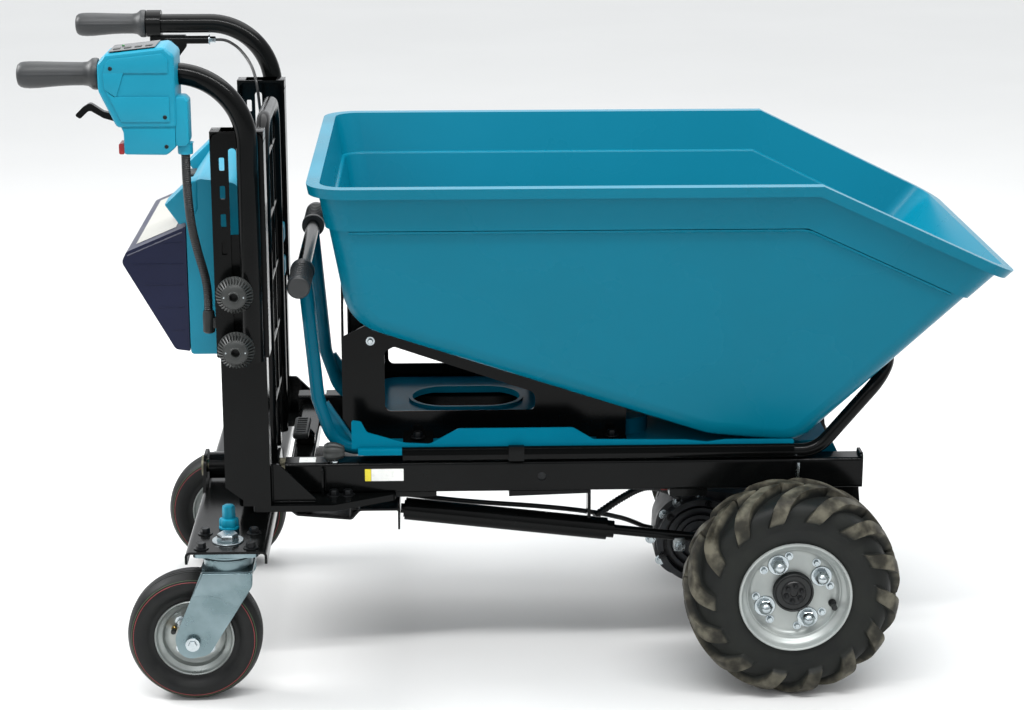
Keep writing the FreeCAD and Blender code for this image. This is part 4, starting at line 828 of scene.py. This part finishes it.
# ---- Tipping bed ----
# The pan is pressed sheet and the dump legs are bent tube with a welded web, powder coated a
# glossier teal than the bucket. The hoop is black. The pan's hem over it is painted black with
# a dulled reflection, as painted shade that stands for the black hoop and the shaded gap under
# the pan's edge. A strap clips hem and hoop together, and bolts hold the bucket's bracket. The
# hinge pin is zinc plated.

teal_powder_coat = finish(
    "teal_powder_coat_on_steel", ("#006079", "#006881"), 0.12, (0.16, 0.24), 0.003, 0.00005,
    ior=1.22,
)
paint(teal_powder_coat, "dump_legs")

pan_paint = teal_powder_coat.copy()
pan_paint.name = "teal_powder_coat_with_painted_gap_shade"
SHADE_REACH = 0.2062
SHADE_TOP = 0.3782
SHADE_REAR = -0.193
# Painted shade: black is laid over the teal where the pan's edge hangs over the hoop, and its
# reflection is dulled, so that the edge reads as the hoop and the shaded gap beneath it.
spot = add(pan_paint, "SeparateXYZ", {"Vector": add(pan_paint, "TexCoord").outputs["Object"]})
across = add(pan_paint, "Math", {0: spot.outputs["Y"]}, operation="ABSOLUTE")
gap_shade = 1.0
for value, limit, test in (
    (across.outputs["Value"], SHADE_REACH, "GREATER_THAN"),
    (spot.outputs["Z"], SHADE_TOP, "LESS_THAN"),
    (spot.outputs["X"], SHADE_REAR, "GREATER_THAN"),
):
    inside = add(pan_paint, "Math", {0: value, 1: limit}, operation=test).outputs["Value"]
    gap_shade = add(pan_paint, "Math", {0: gap_shade, 1: inside}, operation="MULTIPLY").outputs["Value"]
cover(pan_paint, gap_shade, linear("#070808"))
pan_paint.node_tree.nodes["Principled BSDF"].inputs["IOR"].default_value = 1.08
paint(pan_paint, "bed_pan")
paint(zinc_plate, "hinge_pin")

WEB = (
    (-0.315, 0.434), (-0.310, 0.436), (-0.266, 0.369), (-0.271, 0.366), (-0.287, 0.361),
    (-0.301, 0.368), (-0.309, 0.390), (-0.317, 0.418),
)
for side, word in SIDES:
    near, far = span(side, 0.1425, 0.1455)
    piece(f"leg_web_{word}", prism(WEB, near, far, 0.0008), teal_powder_coat, "bed")


def join(made, other):
    """Adds one mesh in the making to another and frees it."""
    mesh = bpy.data.meshes.new("joined")
    other.to_mesh(mesh)
    other.free()
    made.from_mesh(mesh)
    bpy.data.meshes.remove(mesh)


cradle_spots = [(x, y, 0.3785) for x in (-0.168, 0.142) for y in (-0.158, 0.158)]
scatter("cradle_bolts_heads", hex_head(0.013, 0.008), cradle_spots, "+z", black_oxide, "bed")
for side, word in SIDES:
    scatter(f"bracket_bolts_{word}", hex_head(0.008, 0.005), [(-0.242, side * 0.141, 0.534)],
            way(side), zinc_plate, "bed")
    near, far = span(side, 0.2155, 0.2180)
    clip = block((-0.025, near, 0.356), (0.000, far, 0.3795), 0.0006)
    near, far = span(side, 0.207, 0.2180)
    join(clip, block((-0.025, near, 0.3777), (0.000, far, 0.3800), 0.0006))
    piece(f"hoop_clip_{word}", clip, black_powder_coat, "bed")

# ---- Dump handle ----
# A black steel bar with moulded rubber grips, each with seven raised ribs round it. The rubber
# is dark grey with a soft sheen.

grip_rubber = finish(
    "moulded_grip_rubber", ("#1E2021", "#282A2C"), 0.03, (0.40, 0.52), 0.0015, 0.00010
)
paint(black_powder_coat, "dump_bar")
paint(grip_rubber, "dump_grips")
for side, word in SIDES:
    for index in range(7):
        rib = round_ring(0.0170, side * (0.186 + 0.012 * index), 0.0009)
        rib = shifted(rib, (-0.345, 0, 0.655))
        piece(f"dump_grip_rib_{word}_{index}", rib, grip_rubber, "bed")

# ---- Handle grips ----
# Moulded rubber sleeves pushed over the tubes. Each swells under the palm at its closed end,
# narrows towards the fingers and ends in a flange, with a raised line along each side.

# Distance from the closed end, then how far the grip reaches sideways, up and down.
GRIP_FORM = (
    (0.0000, 0.0100, 0.0095, 0.0110), (0.0015, 0.0145, 0.0140, 0.0160),
    (0.0050, 0.0172, 0.0170, 0.0190), (0.0100, 0.0182, 0.0182, 0.0204),
    (0.0180, 0.0186, 0.0187, 0.0210), (0.0300, 0.0184, 0.0187, 0.0206),
    (0.0450, 0.0178, 0.0183, 0.0192), (0.0620, 0.0172, 0.0178, 0.0178),
    (0.0800, 0.0169, 0.0174, 0.0170), (0.0960, 0.0170, 0.0171, 0.0170),
    (0.1035, 0.0180, 0.0180, 0.0180), (0.1075, 0.0208, 0.0208, 0.0208),
    (0.1100, 0.0228, 0.0228, 0.0228), (0.1130, 0.0234, 0.0234, 0.0234),
    (0.1170, 0.0234, 0.0234, 0.0234), (0.1188, 0.0226, 0.0226, 0.0226),
    (0.1190, 0.0165, 0.0165, 0.0165),
)
GRIP_FLANGE = 0.0235
GRIP_STEPS = 48
lowest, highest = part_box("handle_grips")
grip_height = (lowest[2] + highest[2]) / 2
grips = bmesh.new()
for side in (-1, 1):
    middle = side * (highest[1] - GRIP_FLANGE)
    rings = []
    for along, reach, up, down in GRIP_FORM:
        ring = []
        for step in range(GRIP_STEPS):
            turn = math.tau * step / GRIP_STEPS
            rise = math.sin(turn)
            line = 0.0011 if step % (GRIP_STEPS // 2) == 0 and 0.006 < along < 0.1 else 0
            out = (reach + line) * math.cos(turn)
            ring.append(grips.verts.new((
                lowest[0] + along, middle + out, grip_height + rise * (up if rise > 0 else down),
            )))
        rings.append(ring)
    skin(grips, rings)
grips = piece("handle_grips_moulded", grips, grip_rubber, "handle", 60)
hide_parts("handle_grips")

# ---- Battery case ----
# The case is moulded ABS in teal with a fine spark-eroded texture, and its lid is the same
# plastic in dark navy. The packs inside are black glass-filled nylon.

teal_abs = finish(
    "teal_spark_textured_abs", ("#057B95", "#08829C"), 0.15, (0.36, 0.46), 0.0015, 0.00006, ior=1.36
)
navy_abs = finish(
    "navy_spark_textured_abs", ("#121732", "#181E3A"), 0.12, (0.34, 0.44), 0.0015, 0.00006, ior=1.3
)
grey_vinyl = finish(
    "pale_grey_vinyl_film", ("#96958E", "#A3A29B"), 0.01, (0.28, 0.38), 0.001, 0.00001
)
# A paler navy. On the lid's edge beads it is a painted highlight, standing for the light that the
# edge between the lid's top and side catches. The catch tongues are the same paler navy.
edge_highlight_and_wear = finish(
    "navy_abs_painted_highlight_and_wear", ("#4E5060", "#6A6B76"), 0.02, (0.22, 0.32), 0.0015, 0.00003, ior=1.4
)
paint(teal_abs, "battery_housing")
paint(navy_abs, "battery_lid")
paint(black_nylon, "battery_packs")
LID_SIDE = 0.195


def tilted(made, tilt, spot):
    """Tips a mesh in the making up towards the front by an angle, then moves it to its place."""
    turn = Matrix.Rotation(-tilt, 3, "Y")
    bmesh.ops.rotate(made, cent=(0, 0, 0), matrix=turn, verts=made.verts)
    return shifted(made, spot)


lid_slope = math.atan2(0.733 - 0.694, 0.613 - 0.521)
for side, word in SIDES:
    near, far = span(side, LID_SIDE - 0.0004, LID_SIDE + 0.0009)
    for index, (rear, height) in enumerate((
        (-0.547, 0.568), (-0.567, 0.605), (-0.587, 0.641), (-0.604, 0.674), (-0.556, 0.707)
    )):
        rib = block((rear, near, height), (-0.527, far, height + 0.0016), 0.0004, 1)
        piece(f"lid_rib_{word}_{index}", rib, navy_abs, "lid")
    # Painted highlight: a pale bead just under each edge of the lid's sloping top.
    bead = block((-0.0465, near, -0.0010), (0.0465, far, 0.0010), 0.0005, 2)
    piece(f"lid_edge_bead_{word}", tilted(bead, lid_slope, (-0.569, 0, 0.7065)), edge_highlight_and_wear, "lid")
label = block((-0.038, -0.165, 0), (0.030, 0.165, 0.0006), 0.0002, 1)
piece("lid_label_blank", tilted(label, lid_slope, (-0.566, 0, 0.7141)), grey_vinyl, "lid")
SHOULDER = (
    (-0.552, 0.768), (-0.530, 0.736), (-0.512, 0.742), (-0.500, 0.760), (-0.500, 0.806),
    (-0.516, 0.802),
)
FOOT = ((-0.470, 0.531), (-0.470, 0.560), (-0.464, 0.566), (-0.436, 0.566), (-0.436, 0.531))
for side, word in SIDES:
    near, far = span(side, 0.150, 0.1965)
    piece(f"housing_shoulder_{word}", prism(SHOULDER, near, far, 0.004, 3), teal_abs, "chassis")
    near, far = span(side, 0.1945, 0.1975)
    piece(f"housing_foot_{word}", prism(FOOT, near, far, 0.0015), teal_abs, "chassis")
for index, middle in enumerate((-0.095, 0.095)):
    catch = block((-0.546, middle - 0.024, 0.739), (-0.520, middle + 0.024, 0.764), 0.004, 3)
    piece(f"lid_catch_{index}", catch, black_nylon, "chassis")
    tongue = block((-0.550, middle - 0.014, 0.745), (-0.544, middle + 0.014, 0.760), 0.002, 2)
    piece(f"lid_catch_tongue_{index}", tongue, edge_highlight_and_wear, "chassis")

# ---- Clamp knobs and switch ----
# Clamp knobs are ribbed dark nylon, shank and all, each with a deep round hole and two zinc
# rivets on its face. The control box's switch is a red key.

red_abs = finish("red_glossy_abs", ("#7A1014", "#8C161A"), 0.01, (0.22, 0.3), 0.001, 0.00002)
knob_nylon = finish(
    "matt_knob_nylon", ("#262827", "#343635"), 0.02, (0.36, 0.5), 0.0012, 0.00005, ior=1.42
)
paint(red_abs, "control_switch")


KNOB_FINS = 32
FIN = ((0.0170, 0.0385), (0.0280, 0.0385), (0.0284, 0.0420), (0.0268, 0.0480), (0.0188, 0.0578))


def ribbed_knob():
    """A clamp knob on its shank: a domed face with a deep round hole and fins round its rim."""
    made = turned([(0.0075, 0.0), (0.0075, 0.0380)])
    stack(made, [
        (0.0200, 0.0362), (0.0270, 0.0366), (0.0278, 0.0376), (0.0274, 0.0398), (0.0228, 0.0420),
        (0.0196, 0.0500), (0.0192, 0.0560), (0.0180, 0.0574), (0.0130, 0.0590), (0.0092, 0.0594),
        (0.0084, 0.0604), (0.0070, 0.0604), (0.0064, 0.0596), (0.0062, 0.0440),
    ], 64)
    for index in range(KNOB_FINS):
        fin = prism(FIN, -0.0009, 0.0009)
        turn = Matrix.Rotation(math.tau * index / KNOB_FINS, 3, "Z")
        bmesh.ops.rotate(fin, cent=(0, 0, 0), matrix=turn, verts=fin.verts)
        join(made, fin)
    return made


KNOB_X = -0.439
KNOB_Y = 0.2640
KNOB_HEIGHTS = (0.566, 0.652)
right_knobs = [(KNOB_X, -KNOB_Y, height) for height in KNOB_HEIGHTS]
knobs = scatter("clamp_knobs_moulded", ribbed_knob(), right_knobs, "-y", knob_nylon, "chassis", 35)
left_knobs = [(KNOB_X, KNOB_Y, height) for height in KNOB_HEIGHTS]
scatter("clamp_knobs_moulded_left", ribbed_knob(), left_knobs, "+y", knob_nylon, "chassis", 35)
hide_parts("clamp_knobs")
for side, word in SIDES:
    rivet = turned([(0.0013, 0), (0.0013, 0.0006), (0.0008, 0.0009)], 16)
    rivets = [(KNOB_X + dx, side * 0.3220, z) for dx in (-0.0145, 0.0145) for z in KNOB_HEIGHTS]
    scatter(f"knob_rivets_{word}", rivet, rivets, way(side), zinc_plate, "chassis")

# ---- Castor lock knobs ----
# Teal moulded knobs with a lobed skirt and a lobed grip above it turn the pins that lock the
# castors straight. They stand on the beam on round collars.

lock_knob = turned([(0.0160, 0), (0.0160, 0.003), (0.0140, 0.004)], 32)
stack(lock_knob, [
    (0.0150, 0.0035), (0.0155, 0.005), (0.0155, 0.013), (0.0145, 0.0155), (0.0110, 0.017),
], 60, 6, 0.12)
stack(lock_knob, [
    (0.0100, 0.016), (0.0105, 0.018), (0.0102, 0.033), (0.0092, 0.0365), (0.0060, 0.0378),
], 60, 6, 0.14)
knob_spots = [(-0.466, side * 0.235, beam_top) for side in (-1, 1)]
lock_knobs = scatter("lock_knobs_moulded", lock_knob, knob_spots, "+z", teal_abs, "chassis", 40)
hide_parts("lock_knobs")

# ---- Bed latch ----
# A nylon foot pedal with cross ribs on its top releases the bed, on a bracket on the rear
# tube. A rounded nylon knob with six finger hollows locks it, on a steel pin in the rail.

pedal = block((-0.372, -0.100, 0.358), (-0.346, -0.008, 0.3685), 0.0045, 3)
pedal = piece("bed_latch_pedal", pedal, black_nylon, "chassis")
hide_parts("bed_latch")
for index in range(7):
    y = -0.090 + 0.012 * index
    rib = block((-0.367, y - 0.0015, 0.366), (-0.351, y + 0.0015, 0.3698), 0.0008, 1)
    piece(f"bed_latch_rib_{index}", rib, black_nylon, "chassis")
bracket = prism((
    (-0.338, 0.338), (-0.338, 0.350), (-0.346, 0.360), (-0.368, 0.360), (-0.368, 0.338),
), -0.066, -0.042, 0.002)
piece("bed_latch_bracket", bracket, black_powder_coat, "chassis")
latch_knob = bmesh.new()
stack(latch_knob, [
    (0.0070, 0.000), (0.0095, 0.001), (0.0120, 0.006), (0.0150, 0.014), (0.0156, 0.021),
    (0.0148, 0.027), (0.0120, 0.0315), (0.0070, 0.0335),
], 60, 6, 0.16)
latch_knob = tilted(latch_knob, math.pi / 2, (-0.284, -0.197, 0.3685))
piece("bed_latch_knob", latch_knob, knob_nylon, "chassis", 50)
pin = turned([(0.0075, 0), (0.0075, 0.002), (0.0045, 0.003), (0.0045, 0.012)])
scatter("bed_latch_pin", pin, [(-0.300, -0.197, 0.352)], "+z", zinc_plate, "chassis")

# ---- Control box ----
# A two-part teal ABS housing, chamfered all round, with three raised fields on its outer side.
# A dark membrane panel with four flat keys and a lamp is on its sloping top, left bare, and
# a boss on its front takes the control lead.

BOX_UPPER = (
    (-0.623, 0.966), (-0.623, 1.005), (-0.611, 1.0195), (-0.525, 1.0295), (-0.511, 1.017),
    (-0.511, 0.912), (-0.598, 0.912),
)
BOX_LOWER = (
    (-0.594, 0.914), (-0.589, 0.906), (-0.589, 0.872), (-0.527, 0.871), (-0.513, 0.883),
    (-0.513, 0.914),
)
BOSS = (
    (-0.514, 0.884), (-0.514, 0.956), (-0.500, 0.956), (-0.494, 0.950), (-0.494, 0.890),
    (-0.498, 0.884),
)
FACE_TOP = (
    (-0.614, 0.992), (-0.610, 1.006), (-0.604, 1.0125), (-0.528, 1.0205), (-0.520, 1.012),
    (-0.520, 0.992),
)
FACE_LOW = ((-0.612, 0.968), (-0.600, 0.958), (-0.520, 0.958), (-0.520, 0.921), (-0.590, 0.921))
FACE_REAR = ((-0.613, 0.968), (-0.614, 0.993), (-0.584, 0.993), (-0.596, 0.957))
box = piece("control_box_upper", prism(BOX_UPPER, -0.3425, -0.2585, 0.007, 3), teal_abs, "handle", 25)
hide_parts("control_box")
piece("control_box_lower", prism(BOX_LOWER, -0.3395, -0.2600, 0.005, 2), teal_abs, "handle", 25)
for name, outline in (("top", FACE_TOP), ("low", FACE_LOW), ("rear", FACE_REAR)):
    raised = prism(outline, -0.3448, -0.3405, 0.0014, 2)
    piece(f"control_box_face_{name}", raised, teal_abs, "handle", 25)
piece("control_box_boss", prism(BOSS, -0.3385, -0.2975, 0.004), teal_abs, "handle", 25)
collar = turned([(0.0105, 0.8702), (0.0112, 0.8720), (0.0112, 0.8860), (0.0130, 0.8870)], 32)
piece("control_box_collar", shifted(collar, (-0.502, -0.320, 0)), teal_abs, "handle")
membrane = finish("dark_membrane_film", ("#15181A", "#1D2023"), 0.02, (0.2, 0.3), 0.001, 0.00002)
lamp_green = finish("green_lens_plastic", ("#2E6B3A", "#3A7F47"), 0.01, (0.15, 0.2), 0.001, 0.00001)
box_slope = math.atan2(0.0095, 0.088)
PANEL = (-0.572, -0.3015, 1.0252)
panel = block((-0.034, -0.036, 0), (0.034, 0.036, 0.0008), 0.0003, 1)
piece("control_panel_blank", tilted(panel, box_slope, PANEL), membrane, "handle")
for index in range(4):
    key = block((-0.005, -0.0065, 0), (0.005, 0.0065, 0.0016), 0.0006, 2)
    x = -0.596 + 0.0155 * index
    spot = (x, -0.312, PANEL[2] + (x - PANEL[0]) * math.tan(box_slope))
    piece(f"control_key_{index}", tilted(key, box_slope, spot), knob_nylon, "handle")
lens = turned([(0.0022, 0), (0.0022, 0.0012), (0.0014, 0.0017)], 20)
piece("control_lamp", shifted(lens, (-0.590, -0.288, 1.0242)), lamp_green, "handle")
screw = turned([(0.0030, -0.0004), (0.0030, 0.0006), (0.0024, 0.0010), (0.0011, 0.0010)], 20)
screws = [(-0.603, -0.3448, 0.999), (-0.527, -0.3448, 0.928), (-0.527, -0.3395, 0.884)]
scatter("control_box_screws", screw, screws, "-y", black_oxide, "handle")

# ---- Drive unit ----
# Die-cast aluminium gear case, motor and axle housing, painted black, with bright bolts and a
# ring of blackened ones on the cover. The stay ends in a clevis of bare machined steel, and the
# motor's leads plug in with red and grey nylon connectors.

painted_casting = finish(
    "black_painted_die_casting", ("#15171A", "#202327"), 0.02, (0.4, 0.55), 0.002, 0.00012
)
paint(painted_casting, "gear_case", "drive_motor", "axle_housing")
CASE_BOLTS = (
    (0.240, 0.205), (0.262, 0.226), (0.300, 0.236), (0.350, 0.229), (0.235, 0.125), (0.300, 0.092),
    (0.218, 0.163),
)
COVER_CENTRE = Vector((0.300, 0, 0.163))
COVER_RING = 0.0675
case_bolts = [(x, -0.052, z) for x, z in CASE_BOLTS]
scatter("gear_case_bolts", hex_head(0.010, 0.007), case_bolts, "-y", zinc_plate, "chassis")
cover_bolts = [
    on_wheel(COVER_CENTRE, -1, 20 + 60 * index, COVER_RING, 0.070) for index in range(6)
]
scatter("gear_cover_bolts", hex_head(0.007, 0.004), cover_bolts, "-y", black_oxide, "chassis")
bare_steel = finish(
    "bare_machined_steel", ("#7D8284", "#969B9C"), 0.02, (0.28, 0.4), 0.0015, 0.00003, 1.0
)
clevis = block((0.246, -0.161, 0.180), (0.264, -0.139, 0.203), 0.002)
piece("stay_clevis", clevis, bare_steel, "chassis")
clevis_spots = [(0.255, -0.161, 0.189)]
scatter("stay_clevis_bolt", hex_head(0.010, 0.006), clevis_spots, "-y", zinc_plate, "chassis")
for name, tones, low, high in (
    ("red", ("#6E1A18", "#83211E"), (0.232, -0.069, 0.253), (0.244, -0.055, 0.264)),
    ("grey", ("#7B7D7C", "#8D8F8E"), (0.2445, -0.069, 0.252), (0.258, -0.055, 0.265)),
):
    nylon = finish(f"{name}_connector_nylon", tones, 0.01, (0.35, 0.45), 0.001, 0.00003)
    piece(f"motor_plug_{name}", block(low, high, 0.0015), nylon, "chassis")

# ---- Cables ----
# The brake cable and the motor lead have smooth black vinyl sheaths, and the control lead
# runs in a ribbed black conduit to a nylon gland. A ribbed hose leads into the motor.

vinyl_sheath = finish("black_vinyl_sheath", ("#0B0C0D", "#141516"), 0.01, (0.3, 0.42), 0.001, 0.00003)
paint(vinyl_sheath, "motor_cable", "brake_cable")
gland = turned([
    (0.0070, 0.5800), (0.0092, 0.5820), (0.0092, 0.6080), (0.0084, 0.6140), (0.0068, 0.6150),
], 32)
gland = piece("conduit_grommet", shifted(gland, (-0.484, -0.252, 0)), black_nylon, "handle")
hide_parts("conduit_gland")
strap = block((-0.478, -0.258, 0.588), (-0.4715, -0.246, 0.604), 0.001)
piece("conduit_strap", strap, black_nylon, "handle")
ribbed_conduit = finish(
    "ribbed_black_conduit", ("#121314", "#1C1D1E"), 0.01, (0.34, 0.46), 0.001, 0.00003, ior=1.4
)
shader = ribbed_conduit.node_tree.nodes["Principled BSDF"]
rings = add(ribbed_conduit, "TexWave", {
    "Vector": add(ribbed_conduit, "TexCoord").outputs["Object"],
    "Scale": 98.0,
}, bands_direction="Z")
ridges = add(ribbed_conduit, "Bump", {
    "Height": rings.outputs["Fac"],
    "Strength": 1.0,
    "Distance": 0.0007,
})
ribbed_conduit.node_tree.links.new(ridges.outputs["Normal"], shader.inputs["Normal"])
paint(ribbed_conduit, "control_conduit")


def hose(points, radius, pitch, depth, sides=20):
    """A ribbed hose along a smooth line through the points."""
    made = bmesh.new()
    turns = [math.tau * k / sides for k in range(sides)]
    line = smooth_line(points, 12 * len(points))
    length = sum((b - a).length for a, b in zip(line, line[1:]))
    line = smooth_line(points, round(length / pitch * 4))
    across = Vector((0, 1, 0))
    rings = []
    for index, spot in enumerate(line):
        ahead = (line[min(index + 1, len(line) - 1)] - line[max(index - 1, 0)]).normalized()
        up = ahead.cross(across).normalized()
        across = up.cross(ahead).normalized()
        swell = radius - depth * (index % 4 in (1, 2))
        rings.append([
            made.verts.new(spot + (across * math.cos(turn) + up * math.sin(turn)) * swell)
            for turn in turns
        ])
    skin(made, rings)
    return made


motor_hose = hose(
    [(0.120, -0.104, 0.222), (0.165, -0.080, 0.244), (0.205, -0.066, 0.258), (0.238, -0.060, 0.252),
     (0.262, -0.050, 0.236), (0.266, -0.046, 0.222)],
    0.0065, 0.0036, 0.0009,
)
piece("motor_hose", motor_hose, vinyl_sheath, "chassis", 60)
scatter("brake_cable_ferrule", hex_head(0.010, 0.010), [(-0.522, 0.285, 0.955)], "+x",
        zinc_plate, "handle")
